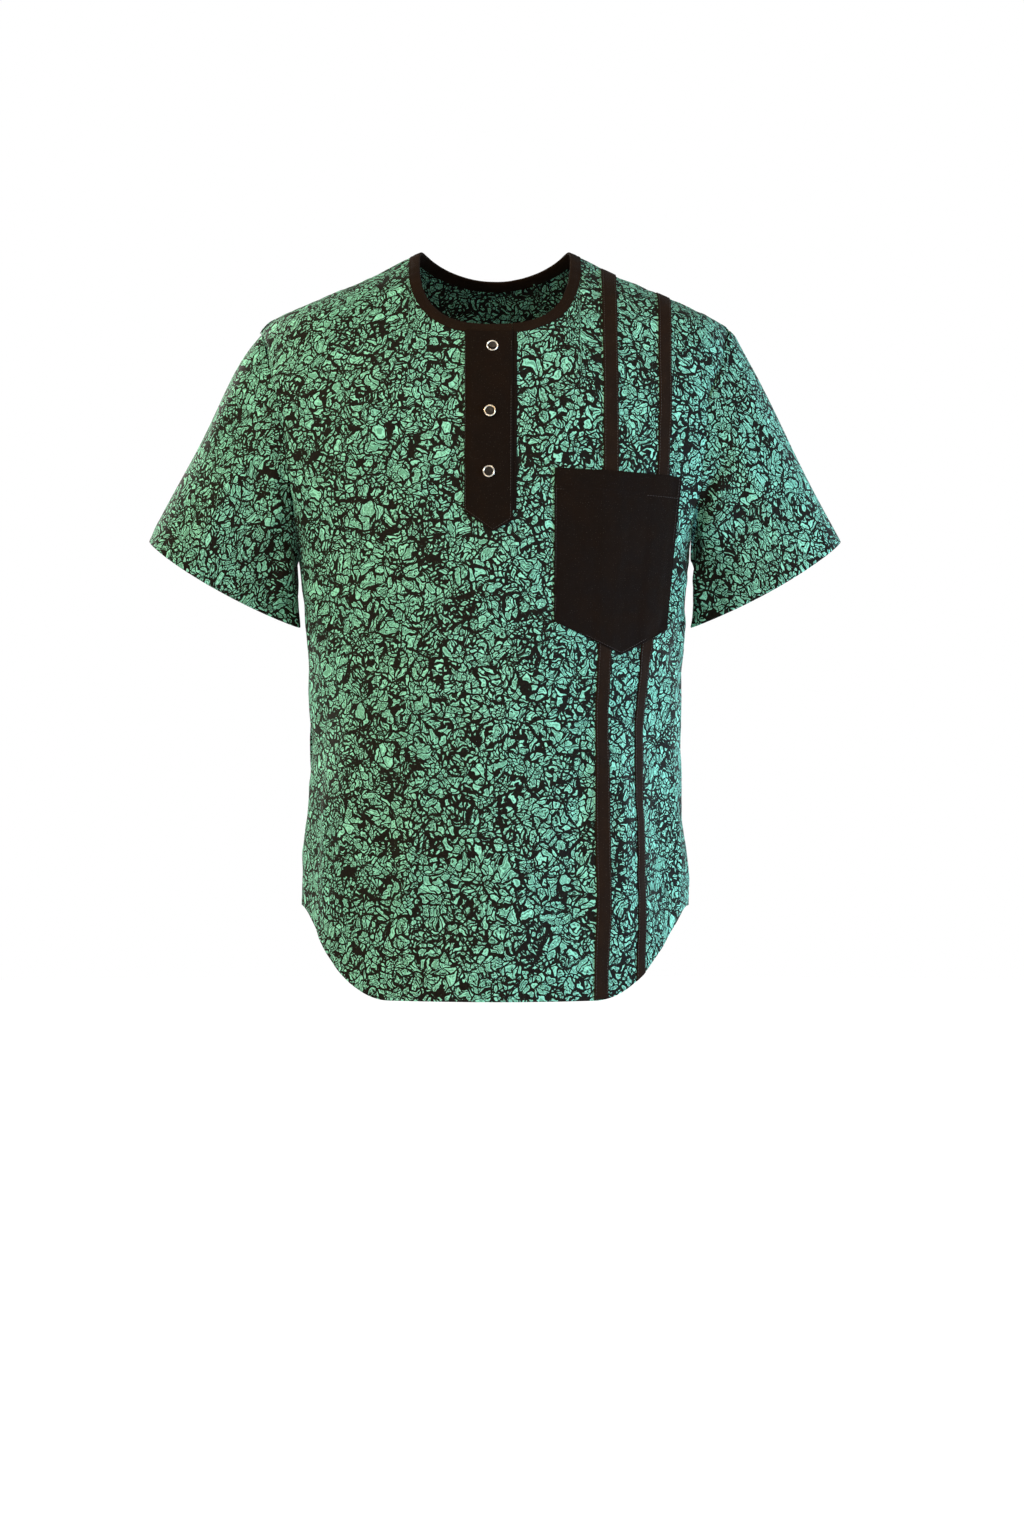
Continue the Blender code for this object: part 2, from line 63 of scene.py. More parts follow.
# Levels of the body
HEM_Z = -0.729
HEM_SIDE_Z = -0.642
HEM_LIFT_TOP_Z = -0.420
HEM_CENTRE = -1.0
HEM_ROUND_START = 0.10
HEM_ROUND_SPAN = 0.56
ARMPIT_Z = -0.300
YOKE_Z = -0.150
YOKE_RUN = 0.160
ARMHOLE_SCOOP = 0.625

# Neck and shoulders
NECK_HALF_WIDTH = 0.084
NECK_POINT_Y = -0.018
NECK_FRONT_Z = -0.0845
NECK_FRONT_ROUNDNESS = 2.6
NECK_BACK_RISE = 0.076
SHOULDER_TIP_X = 0.2345
SHOULDER_TIP_Y = -0.009

# Sleeves
SLEEVE_RUN = 0.22
SLEEVE_SEAM_SHIFT = 0.0006
CUFF_INNER = np.array((0.1952, 0.002, -0.365))
CUFF_OUTER = np.array((0.3450, 0.002, -0.279))
CUFF_HALF_DEPTH = 0.060
CUFF_PINCH = 0.55
CUFF_TILT = 0.12
CUFF_SAG = 0.005
SLEEVE_CELL_GROWTH = 1.15
SLEEVE_LEAN = (0.35, 0.80)
SLEEVE_START_PULL = (0.30, 0.55)
SLEEVE_END_PULL = 0.90
# Radius that stands for a sleeve where unevenness is drawn round it
SLEEVE_RADIUS = 0.055

# How deep the cloth sinks into its seams, and how far from them that reaches
ARMHOLE_SINK = (0.0011, 0.0035)
SIDE_SINK = (0.0006, 0.0030)
HEM_SINK = (0.0003, 0.0022)
SLEEVE_SINK = (0.0010, 0.0035)
UNDERARM_SINK = (0.0005, 0.0030)

# Walls by which a seam's turnings lie below the cloth, and how many more where they pass the hem
TURNING_WALLS_BELOW = 1.7
HEM_WALLS_BELOW = 2.2

# Folded edges: the reach of the rounding, the share of the wall that stands at the very edge, the
# stitching's dip as a share and its reach, and the distances scored beside the stitching's own
FOLD_REACH = 0.0007
FOLD_START = 0.35
STITCH_DIP = 0.22
STITCH_DIP_REACH = 0.0006
EDGE_SCORES = (0.0003, 0.0008, 0.0027)

# Where each piece is cut from the print
PRINT_STARTS = {
    "front": (0.31, 0.27, 0.0), "back": (2.43, 1.12, 0.0), "sleeve_left": (4.17, 0.58, 0.0),
    "sleeve_right": (5.66, 2.71, 0.0), "turnings": (1.10, 3.20, 0.0),
}

# What lies on what, measured outwards from the front panel
REST_GAP = 0.00035
SEAM_GAP = 0.0003
BAND_TOP = 0.00135
UNDERLAP_TOP = 0.00135
PLACKET_WALL = 0.0012
POCKET_WALL = 0.0012
TRIM_UNDERSIDE = 0.0002
TRIM_CELL = 0.003

# Placket and pocket outlines, as x and z
UNDERLAP_FOOT_Z = -0.262
PLACKET_OUTLINE = ((-0.0300, -0.2593), (-0.0012, -0.2797), (0.0180, -0.2689))
PLACKET_FOLD_Z = -0.270
PLACKET_TIP_Z = -0.280
POCKET_OUTLINE = (
    (0.0578, -0.2175), (0.1823, -0.2224), (0.1678, -0.3710), (0.1229, -0.3964), (0.0571, -0.3654),
)
POCKET_LEVELS = (-0.405, -0.205)
POCKET_SLACK = 0.0011
POCKET_HEM_RISE = 0.00025
POCKET_SIDE = 0.148
POCKET_FOLD = 0.0195

# Corners of the placket's stitching: x and z on the edge, then how many insets it moves across and up
PLACKET_SEWING = (
    (-0.0300, -0.0935, 1.0, 0.0), (-0.0292, -0.2585, 1.0, 0.0), (-0.0012, -0.2797, 0.0, 1.25),
    (0.0172, -0.2672, -1.0, 0.0), (0.0181, -0.0930, -1.0, 0.0),
)

# Neck binding: reach over and above the neckline, and how far its two layers stand out
BINDING_OVERLAP = 0.0013
BINDING_RISE = 0.0100
BINDING_PROUD = 0.0008
BINDING_INSIDE = -0.0016

# Ring snaps: x and z of each centre, and how much painted golden reflection its rim has
SNAPS = ((-0.0020, -0.0985, 0.15), (-0.0043, -0.1630, 0.75), (-0.0052, -0.2220, 0.25))

# The form: z, half width, depth in front, depth behind
SECTIONS = (
    (0.010, 0.0700, 0.018, 0.014),
    (0.004, 0.0840, 0.032, 0.028),
    (-0.018, 0.1270, 0.056, 0.058),
    (-0.042, 0.1840, 0.073, 0.082),
    (-0.066, 0.2300, 0.087, 0.103),
    (-0.084, 0.2410, 0.097, 0.115),
    (-0.127, 0.2440, 0.112, 0.130),
    (-0.194, 0.2390, 0.124, 0.142),
    (-0.250, 0.2140, 0.130, 0.142),
    (-0.300, 0.1945, 0.132, 0.138),
    (-0.378, 0.1890, 0.131, 0.130),
    (-0.478, 0.1840, 0.130, 0.125),
    (-0.558, 0.1880, 0.131, 0.128),
    (-0.642, 0.1942, 0.134, 0.134),
    (-0.740, 0.1967, 0.137, 0.138),
)

# Lines that run from hem to shoulder: name, angle from the middle at the chest and at the hem, and
# place on the top edge (1 is a neck point, 2 a shoulder tip)
LINES = (
    ("right_side", -90.0, -90.0, -2.0),
    ("right_neck_point", -28.5, -25.5, -1.0),
    ("placket_left", -8.7, -8.2, -0.158),
    ("underlap_left", -7.2, -6.8, -0.126),
    ("placket_middle", -1.6, -1.5, -0.016),
    ("placket_right", 5.25, 5.0, 0.086),
    ("underlap_right", 6.1, 5.8, 0.112),
    ("pocket_inner", 17.2, 16.0, 0.467),
    ("left_neck_point", 28.5, 25.5, 1.0),
    ("inner_band_in", 32.8, 29.1, 1.141),
    ("inner_band_out", 37.6, 33.7, 1.238),
    ("outer_band_in", 50.7, 43.65, 1.508),
    ("outer_band_out", 56.1, 47.4, 1.595),
    ("pocket_outer", 64.1, 57.0, 1.704),
    ("left_side", 90.0, 90.0, 2.0),
)
LINE = {name: np.array(places) for name, *places in LINES}

# Metres of cloth for each degree round the body
DEGREE = 0.0030

# The CAD's soft folds: panel, angle, half width in degrees, height, lowest and highest z
FOLDS = (
    (FRONT, 36, 15, 0.0070, -0.79, -0.37),
    (FRONT, 59, 13, -0.0055, -0.78, -0.34),
    (FRONT, -50, 17, 0.0045, -0.79, -0.40),
    (FRONT, -70, 12, -0.0030, -0.77, -0.42),
    (FRONT, 4, 18, 0.0025, -0.80, -0.45),
    (BACK, -38, 18, 0.0060, -0.79, -0.33),
    (BACK, -10, 16, -0.0045, -0.80, -0.30),
    (BACK, 30, 20, 0.0055, -0.79, -0.36),
    (BACK, 62, 14, -0.0035, -0.77, -0.38),
)

# Creases, listed one by one: panel, angle and z where one starts, angle and z where it ends, sideways bend,
# half width, height. A height below zero is a trough.
CREASES = (
    (FRONT, 87, -0.312, 52, -0.398, 0.008, 0.0075, 0.0022),
    (FRONT, 88, -0.332, 62, -0.420, -0.006, 0.0080, -0.0018),
    (FRONT, 84, -0.296, 60, -0.330, 0.004, 0.0060, 0.0012),
    (FRONT, -86, -0.310, -55, -0.385, -0.007, 0.0085, 0.0017),
    (FRONT, -88, -0.335, -66, -0.430, 0.005, 0.0080, -0.0015),
    (FRONT, -80, -0.290, -62, -0.318, -0.003, 0.0060, 0.0009),
    (FRONT, 46, -0.405, 41, -0.700, 0.010, 0.0100, 0.0013),
    (FRONT, 27, -0.430, 22, -0.640, -0.006, 0.0090, -0.0008),
    (FRONT, -20, -0.470, -26, -0.715, 0.008, 0.0120, 0.0011),
    (FRONT, -36, -0.520, -33, -0.690, -0.006, 0.0090, -0.0010),
    (FRONT, -62, -0.480, -57, -0.660, 0.006, 0.0090, 0.0010),
    (FRONT, 74, -0.470, 70, -0.655, -0.005, 0.0080, 0.0010),
    (FRONT, -40, -0.115, -18, -0.205, 0.010, 0.0110, 0.0009),
    (FRONT, -58, -0.100, -60, -0.225, 0.006, 0.0080, 0.0011),
    (FRONT, 66, -0.105, 66, -0.200, -0.006, 0.0080, 0.0009),
    (BACK, 85, -0.315, 48, -0.420, -0.008, 0.0090, 0.0020),
    (BACK, 86, -0.340, 60, -0.460, 0.006, 0.0080, -0.0016),
    (BACK, -86, -0.305, -50, -0.395, 0.009, 0.0085, 0.0018),
    (BACK, -87, -0.330, -63, -0.440, -0.005, 0.0080, -0.0014),
    (BACK, 14, -0.330, 20, -0.690, 0.012, 0.0130, 0.0016),
    (BACK, 42, -0.420, 46, -0.700, -0.008, 0.0110, 0.0013),
    (BACK, -22, -0.380, -26, -0.710, -0.010, 0.0120, 0.0015),
    (BACK, -52, -0.460, -55, -0.680, 0.007, 0.0100, -0.0011),
    (BACK, 2, -0.480, -3, -0.715, 0.007, 0.0110, -0.0010),
    (BACK, -36, -0.110, -20, -0.210, 0.008, 0.0120, 0.0012),
    (BACK, 38, -0.105, 24, -0.220, -0.009, 0.0120, 0.0010),
    (BACK, 60, -0.110, 56, -0.240, 0.006, 0.0100, 0.0011),
    (BACK, -62, -0.115, -57, -0.235, -0.005, 0.0100, 0.0010),
)

# Sleeve creases: side (1 left, -1 right, 0 both), turn in degrees and share of the length where one
# starts and ends, half width in degrees, height. Turn 0 is the top, 90 the front, 270 the back.
SLEEVE_CREASES = (
    (1, 150, 0.04, 96, 0.62, 9, 0.0026),
    (1, 128, 0.02, 74, 0.40, 8, -0.0018),
    (1, 168, 0.15, 140, 0.95, 8, 0.0020),
    (1, 62, 0.25, 58, 0.97, 10, 0.0012),
    (1, 20, 0.12, 30, 0.80, 9, 0.0010),
    (-1, 146, 0.05, 104, 0.72, 9, 0.0022),
    (-1, 120, 0.03, 82, 0.36, 7, -0.0015),
    (-1, 166, 0.20, 132, 0.97, 9, 0.0018),
    (-1, 70, 0.35, 66, 0.98, 11, 0.0013),
    (-1, 34, 0.10, 24, 0.70, 9, 0.0009),
    (0, 212, 0.05, 258, 0.70, 9, 0.0023),
    (0, 236, 0.03, 280, 0.42, 8, -0.0016),
    (0, 196, 0.18, 222, 0.96, 8, 0.0017),
    (0, 300, 0.20, 304, 0.95, 11, 0.0012),
    (0, 336, 0.15, 330, 0.75, 9, 0.0010),
)

# Lamps: name, place, size, setting that gives its power, share of it, colour
LAMPS = (
    ("key", (-2.4, -1.5, 1.2), (0.8, 0.8), "key", 1.00, (1.0, 0.88, 0.62)),
    ("fill", (2.6, -1.0, -0.60), (1.0, 1.4), "fill", 1.60, (0.46, 0.70, 1.0)),
    ("front", (0.7, -2.6, 2.0), (1.2, 1.2), "key", 0.64, (1.0, 0.81, 0.58)),
    ("behind", (-2.2, 1.9, 1.0), (0.9, 0.9), "key", 0.90, (1.0, 0.95, 0.88)),
    ("behind_fill", (2.4, 1.6, 0.2), (1.2, 1.4), "fill", 0.70, (0.75, 0.90, 1.0)),
)
LAMP_AIM = (0.0, 0.0, -0.38)


# Settings that a user may change

def metres(name, description, default, **limits):
    """A setting in metres."""
    return bpy.props.FloatProperty(
        name=name, description=description, default=default, subtype="DISTANCE", unit="LENGTH", **limits)


def colour(name, description, default):
    """A setting that holds a colour."""
    return bpy.props.FloatVectorProperty(
        name=name, description=description, default=default, size=3, min=0.0, max=1.0, subtype="COLOR")


class ShirtCloth(bpy.types.PropertyGroup):
    """Sizes of the cloth, its seams and its sewing."""
    cell: metres("Cell", "Size of a mesh cell on the panels", 0.004, min=0.0025, max=0.02)
    wall: metres("Cloth thickness", "Thickness of the print cotton", 0.0006, min=0.0003, max=0.0012)
    turning: metres("Turning", "Width of cloth turned in at each side of a seam", 0.008)
    hem_depth: metres("Hem depth", "How far the turned hem reaches up inside", 0.016, min=0.005, max=0.04)
    crease: bpy.props.FloatProperty(
        name="Crease", description="How strongly the creases laid by hand stand out", default=2.4,
        min=0.0, max=4.0)
    undulation: metres("Undulation", "Height of the cloth's slight unevenness", 0.0011, min=0.0, max=0.003)
    pucker: metres("Seam pucker", "Height of the puckers beside the seams", 0.0006, min=0.0, max=0.002)
    stitch: metres("Stitch length", "Length of one stitch", 0.0023, min=0.001, max=0.006)
    stitch_pitch: metres("Stitch pitch", "Distance from one stitch to the next", 0.0029, min=0.0012, max=0.01)
    thread: metres("Thread", "Thickness of the sewing thread", 0.0004, min=0.0001, max=0.001)
    edge_stitch: metres(
        "Edge stitching", "Distance of the topstitching from a folded edge", 0.0017, min=0.0008, max=0.006)


class ShirtPrint(bpy.types.PropertyGroup):
    """Sizes and colours of the crackle print."""
    lobe: metres("Lobes", "Size of the groups that the cells form", 0.019)
    cell: metres("Cells", "Size of a middling cell", 0.0068)
    line_width: metres("Line", "Half the width of a middling line", 0.00083)
    ground: colour("Ground", "Sea green of the dyed ground", (0.100, 0.268, 0.178))
    ground_pale: colour("Pale ground", "Paler green beside the lines", (0.29, 0.71, 0.53))
    line: colour("Lines", "Near-black brown of the crackle", (0.0036, 0.0024, 0.0013))


class ShirtTrim(bpy.types.PropertyGroup):
    """Colours of the dark cotton, the thread and the snaps."""
    cotton: colour("Dark cotton", "Brown-black of the trim", (0.0056, 0.0028, 0.0015))
    thread: colour("Thread", "Colour of the sewing thread", (0.016, 0.0105, 0.0075))
    metal: colour("Snap rim", "Silver of the snap rims", (0.80, 0.78, 0.74))
    # Gold that is painted into the snap rims' colour as a painted golden reflection
    gold: colour("Painted glint", "Brassy tone of a worn rim", (0.80, 0.56, 0.28))
    snap_radius: metres("Snap radius", "Outer radius of a ring snap", 0.00575)
    snap_rim: metres("Rim width", "Width of a snap's rim", 0.0014)


class ShirtStage(bpy.types.PropertyGroup):
    """Floor, light and camera."""
    floor_colour: colour("Floor", "Colour of floor and backdrop", (0.93, 0.93, 0.93))
    floor_z: metres("Floor height", "Height of the floor under the shirt", -1.55)
    floor_glow: bpy.props.FloatProperty(
        name="Floor glow", description="How much paler the floor looks than it is lit", default=0.82)
    sky: bpy.props.FloatProperty(
        name="Ambient light", description="Strength of the even light from all round", default=0.27)
    key: bpy.props.FloatProperty(
        name="Key light", description="Power of the warm lamp", default=88.0, unit="POWER")
    fill: bpy.props.FloatProperty(
        name="Fill light", description="Power of the cool lamp", default=62.0, unit="POWER")
    camera_place: bpy.props.FloatVectorProperty(
        name="Camera", description="Where the camera stands", default=(0.017, -3.0, -0.506),
        size=3, subtype="TRANSLATION", unit="LENGTH")
    lens: bpy.props.FloatProperty(
        name="Lens", description="Focal length in millimetres", default=70.3)


# The form of the worn cloth

def smoothstep(t):
    t = np.clip(t, 0.0, 1.0)
    return t * t * (3.0 - 2.0 * t)


def blend(a, b, t):
    return a + (b - a) * t


def unit(vectors):
    return vectors / np.maximum(np.linalg.norm(vectors, axis=-1, keepdims=True), 1e-12)


def near(distance, reach, power=2.0):
    """1 at no distance, falling to nothing over about twice the reach."""
    return np.exp(-(np.abs(distance) / reach) ** power)


def sink(distance, seam):
    """How far the cloth lies below its surface at a distance from a seam, by the seam's (depth, reach)."""
    return seam[0] * near(distance, seam[1])


def hermite(t, first, leaving, last, arriving):
    """The cubic from first to last that leaves and arrives with the given tangents."""
    start = (1.0 + 2.0 * t) * (1.0 - t) ** 2 * first + t * (1.0 - t) ** 2 * leaving
    return start + t * t * (3.0 - 2.0 * t) * last + t * t * (t - 1.0) * arriving


def smooth_curve(places, values):
    """A curve through the points that never overshoots between them, as a function of place."""
    rising = np.argsort(places)
    x = np.asarray(places, float)[rising]
    y = np.asarray(values, float)[rising]
    step = np.diff(x)
    slope = np.diff(y) / step
    tangent = np.concatenate([slope[:1], np.zeros(len(x) - 2), slope[-1:]])
    for i in range(1, len(x) - 1):
        if slope[i - 1] * slope[i] > 0.0:
            before = 2.0 * step[i] + step[i - 1]
            after = step[i] + 2.0 * step[i - 1]
            tangent[i] = (before + after) / (before / slope[i - 1] + after / slope[i])

    def curve(place):
        place = np.clip(place, x[0], x[-1])
        i = np.clip(np.searchsorted(x, place) - 1, 0, len(step) - 1)
        t = (place - x[i]) / step[i]
        return hermite(t, y[i], step[i] * tangent[i], y[i + 1], step[i] * tangent[i + 1])

    return curve


LEVELS, *SHAPES = zip(*SECTIONS)
half_width, front_depth, back_depth = (smooth_curve(LEVELS, shape) for shape in SHAPES)


def depth(y, z):
    """The form's depth on the side where y lies."""
    return np.where(y < 0.0, front_depth(z), back_depth(z))


def depth_share(x, z):
    """How much of its depth in the middle the form still has at x."""
    return np.sqrt(np.clip(1.0 - (x / half_width(z)) ** 2, 0.0, 1.0))


def excess(x, y, z):
    """Below zero inside the form and above zero outside it."""
    return (x / half_width(z)) ** 2 + (y / depth(y, z)) ** 2 - 1.0


def halving(outside, low, high, rounds=30):
    """The value between low, which is inside, and high at which outside() turns positive."""
    for _ in range(rounds):
        middle = 0.5 * (low + high)
        out = outside(middle) > 0.0
        high = np.where(out, middle, high)
        low = np.where(out, low, middle)
    return 0.5 * (low + high)


def form_outward(points):
    """Unit vectors that point straight out of the form."""
    x, y, z = np.moveaxis(points, -1, 0)
    step = 0.001
    rise = (excess(x, y, z + step) - excess(x, y, z - step)) / (2.0 * step)
    return unit(np.stack([2.0 * x / half_width(z) ** 2, 2.0 * y / depth(y, z) ** 2, rise], axis=-1))


def form_height(x, y):
    """Height of the form's upper side over a place in plan."""
    return halving(lambda z: excess(x, y, z), np.full(np.shape(x), YOKE_Z), np.full(np.shape(x), LEVELS[0]))


NECK_POINT_Z = float(form_height(np.array(NECK_HALF_WIDTH), np.array(NECK_POINT_Y)))


def top_edge(facing, top):
    """Points of a panel's top edge: the neckline up to 1, then the shoulder seam up to 2."""
    side = np.sign(top)
    turn = np.radians(90.0 * np.minimum(np.abs(top), 1.0))
    if facing == FRONT:
        power = 2.0 / NECK_FRONT_ROUNDNESS
        neck_x = NECK_HALF_WIDTH * np.sin(turn) ** power
        drop = NECK_POINT_Z - NECK_FRONT_Z
        neck_z = NECK_POINT_Z - drop * np.clip(np.cos(turn), 0.0, 1.0) ** power
        neck_y = -front_depth(neck_z) * depth_share(neck_x, neck_z)
    else:
        neck_x = NECK_HALF_WIDTH * np.sin(turn)
        neck_y = NECK_POINT_Y + NECK_BACK_RISE * np.cos(turn)
        neck_z = form_height(neck_x, neck_y)
    along = np.clip(np.abs(top) - 1.0, 0.0, 1.0)
    seam_x = blend(NECK_HALF_WIDTH, SHOULDER_TIP_X, along)
    seam_y = blend(NECK_POINT_Y, SHOULDER_TIP_Y, along)
    neck = np.stack([side * neck_x, neck_y, neck_z], axis=-1)
    seam = np.stack([side * seam_x, seam_y, form_height(seam_x, seam_y)], axis=-1)
    return np.where((np.abs(top) > 1.0)[..., None], seam, neck)


def hem_height(angle):
    """The shirt-tail hem: low in the middle, and rounded up to the side seams."""
    inward = (90.0 - np.abs(angle - HEM_CENTRE)) / 90.0
    return blend(HEM_SIDE_Z, HEM_Z, smoothstep((inward - HEM_ROUND_START) / HEM_ROUND_SPAN))


def below_armpit(facing, chest, hem, t):
    nominal = blend(HEM_Z, ARMPIT_Z, t)
    lift = smoothstep((HEM_LIFT_TOP_Z - nominal) / (HEM_LIFT_TOP_Z - HEM_Z))
    z = nominal + (hem_height(hem) - HEM_Z) * lift
    angle = np.radians(blend(chest, hem, (ARMPIT_Z - z) / (ARMPIT_Z - HEM_Z)))
    return np.stack([half_width(z) * np.sin(angle), facing * depth(facing, z) * np.cos(angle), z], axis=-1)


def yoke_x(chest, end):
    """Where a line crosses the yoke level: outer lines still lie well inside the shoulder tip there."""
    start = half_width(ARMPIT_Z) * np.sin(np.radians(chest))
    outer = (np.abs(chest) / 90.0) ** 4
    return start, blend(start, end, 1.0 - ARMHOLE_SCOOP * outer), outer


def above_armpit(facing, chest, end, t):
    start, crossing, outer = yoke_x(chest, end)
    z = np.full(np.shape(chest), blend(ARMPIT_Z, YOKE_Z, t))
    x = start + (crossing - start) * (t + (1.0 - outer) * t * (1.0 - t))
    return np.stack([x, facing * depth(facing, z) * depth_share(x, z), z], axis=-1)


def over_shoulder(facing, chest, edge, t):
    """From the yoke level to the top edge, turning about a level axis across the shoulders."""
    _, crossing, _ = yoke_x(chest, edge[..., 0])
    x = blend(crossing, edge[..., 0], t)
    last = np.arctan2(edge[..., 2] - YOKE_Z, -edge[..., 1])
    turn = blend(0.0 if facing == FRONT else math.pi, last, t)
    reach = halving(
        lambda r: excess(x, -r * np.cos(turn), YOKE_Z + r * np.sin(turn)),
        np.zeros(np.shape(turn)), np.full(np.shape(turn), 0.2))
    return np.stack([x, -reach * np.cos(turn), YOKE_Z + reach * np.sin(turn)], axis=-1)


def waves(points, wavelength, seed, count=7):
    """A smooth, repeatable unevenness between about -1 and 1: a sum of waves in many directions."""
    draw = np.random.default_rng(seed)
    total = np.zeros(points.shape[:-1])
    for _ in range(count):
        way = draw.normal(size=points.shape[-1])
        way /= np.linalg.norm(way)
        run = wavelength * draw.uniform(0.6, 1.7)
        total += np.sin(points @ way * 2.0 * math.pi / run + draw.uniform(0.0, 2.0 * math.pi))
    return total / math.sqrt(count)


def ridge(across, along, start, end, bend, half, height):
    """A soft ridge or trough from start to end on a flat map, which fades out at both ends."""
    run = np.subtract(end, start)
    size = np.linalg.norm(run)
    t = np.clip(((across - start[0]) * run[0] + (along - start[1]) * run[1]) / size ** 2, 0.0, 1.0)
    side = ((across - start[0]) * run[1] - (along - start[1]) * run[0]) / size
    side = side - bend * 4.0 * t * (1.0 - t)
    return height * near(side, half * (1.15 - 0.3 * t)) * np.sin(math.pi * t) ** 1.3


def relief(facing, points):
    """How far folds, creases and unevenness move a place on a panel out of the form."""
    given = bpy.context.scene.shirt_cloth
    x, y, z = np.moveaxis(points, -1, 0)
    angle = np.degrees(np.arctan2(x / half_width(z), np.abs(y) / depth(facing, z)))
    height = np.zeros(np.shape(z))
    for panel, middle, half, rise, low, high in FOLDS:
        if panel == facing:
            beside = np.clip(np.abs(angle - middle) / half, 0.0, 1.0)
            along = np.clip((z - low) / (high - low), 0.0, 1.0)
            height += rise * np.cos(0.5 * math.pi * beside) ** 2 * np.sin(math.pi * along) ** 1.5
    for panel, a0, z0, a1, z1, bend, half, rise in CREASES:
        if panel == facing:
            height += ridge(angle * DEGREE, z, (a0 * DEGREE, z0), (a1 * DEGREE, z1), bend, half,
                            given.crease * rise)
    calm = smoothstep((YOKE_Z + 0.12 - z) / 0.12)
    uneven = waves(points, 0.085, 11 + facing) + 0.35 * waves(points, 0.032, 23 + facing)
    return height + given.undulation * uneven * (0.35 + 0.65 * calm)


def dressed(facing, points):
    """Points of the bare form moved out by the cloth's relief, and the way out at each."""
    outward = form_outward(points)
    return points + relief(facing, points)[..., None] * outward, outward


def column_table(cell):
    """Chest angle, hem angle and top place of every column, and the column number of each line."""
    names = list(LINE)
    columns = []
    number = {}
    for name, following in zip(names, names[1:]):
        start = LINE[name]
        end = LINE[following]
        cells = max(1, round(abs(end[0] - start[0]) * DEGREE / cell))
        number[name] = len(columns)
        columns += [blend(start, end, i / cells) for i in range(cells)]
    number[names[-1]] = len(columns)
    return np.array(columns + [LINE[names[-1]]]), number


def strip_columns(first, last):
    """Columns that cross a strip between two lines."""
    return np.array([blend(LINE[first], LINE[last], share) for share in STRIP_SHARES])


def form_rows(facing, columns, cell):
    """Rows of points on the bare form from hem to top edge, and the number of the armpit's row."""
    chest, hem, top = columns.T
    edge = top_edge(facing, top)
    low, middle, high = (round(run / cell) for run in (ARMPIT_Z - HEM_Z, YOKE_Z - ARMPIT_Z, YOKE_RUN))
    rows = [below_armpit(facing, chest, hem, i / low) for i in range(low)]
    rows += [above_armpit(facing, chest, edge[:, 0], i / middle) for i in range(middle)]
    rows += [over_shoulder(facing, chest, edge, i / high) for i in range(high + 1)]
    return np.array(rows), low


def lengths(points, axis):
    """Distance run along one axis of a grid of points."""
    steps = np.linalg.norm(np.diff(points, axis=axis), axis=-1)
    start = np.zeros_like(np.take(steps, [0], axis=axis))
    return np.concatenate([start, np.cumsum(steps, axis=axis)], axis=axis)


def cloth_map(points, centre, base):
    """Cloth coordinates in metres: along the rows from a centre column, up the columns from a row."""
    across = lengths(points, 1)
    up = lengths(points, 0)
    return np.stack([across - across[:, centre:centre + 1], up - up[base:base + 1, :]], axis=-1)


# Meshes

def cloth_sheet(points, outward, places, top=0.0, bottom=0.0):
    """A sheet of cloth whose vertices know the way out, their cloth coordinates and their heights."""
    rows, columns = points.shape[:2]
    top = np.broadcast_to(top, (rows, columns))
    bottom = np.broadcast_to(bottom, (rows, columns))
    bm = bmesh.new()
    bmesh.ops.create_grid(bm, x_segments=columns - 1, y_segments=rows - 1, size=0.5)
    out = bm.verts.layers.float_vector.new("outward")
    place = bm.verts.layers.float_vector.new("place")
    upper = bm.verts.layers.float.new("top")
    lower = bm.verts.layers.float.new("bottom")
    for vert in bm.verts:
        at = round((vert.co.y + 0.5) * (rows - 1)), round((vert.co.x + 0.5) * (columns - 1))
        vert.co = points[at]
        vert[out] = outward[at]
        vert[place] = (*places[at], 0.0)
        vert[upper] = top[at]
        vert[lower] = bottom[at]
    return bm


def height_layers(bm):
    return bm.verts.layers.float["top"], bm.verts.layers.float["bottom"]


def trim(bm, start, end, inset=0.0, cut_away=True):
    """Cut a sheet along the line through two (x, z) points and keep what lies to the right of it. An
    inset moves the cut to the right, and cut_away=False only scores the sheet there."""
    along = Vector((end[0] - start[0], 0.0, end[1] - start[1]))
    left = Vector((-along.z, 0.0, along.x)).normalized()
    parts = bm.verts[:] + bm.edges[:] + bm.faces[:]
    bmesh.ops.bisect_plane(
        bm, geom=parts, dist=0.00002, plane_co=Vector((start[0], 0.0, start[1])) - inset * left,
        plane_no=left, clear_outer=cut_away)


def trim_outline(bm, sides):
    """Cut a sheet along the sides of its outline, and score it beside them for their folded edge."""
    for start, end in sides:
        trim(bm, start, end)
    for start, end in sides:
        for inset in sorted((*EDGE_SCORES, bpy.context.scene.shirt_cloth.edge_stitch)):
            trim(bm, start, end, inset, cut_away=False)


def edge_distance(vert, corners):
    """Distance of a vertex inward from the nearest of the lines between (x, z) corners."""
    best = 1.0
    for (x0, z0), (x1, z1) in zip(corners, corners[1:]):
        inward = (vert.co.x - x0) * (z1 - z0) - (vert.co.z - z0) * (x1 - x0)
        best = min(best, inward / math.hypot(x1 - x0, z1 - z0))
    return best


def folded_edge(distance, wall, stitch):
    """Height of a folded and topstitched edge: rounded at the fold, pulled down along the stitching."""
    round_over = max(0.0, 1.0 - max(0.0, 1.0 - distance / FOLD_REACH) ** 2)
    dip = STITCH_DIP * math.exp(-((distance - stitch) / STITCH_DIP_REACH) ** 2)
    return wall * blend(FOLD_START, 1.0, math.sqrt(round_over)) * (1.0 - dip)


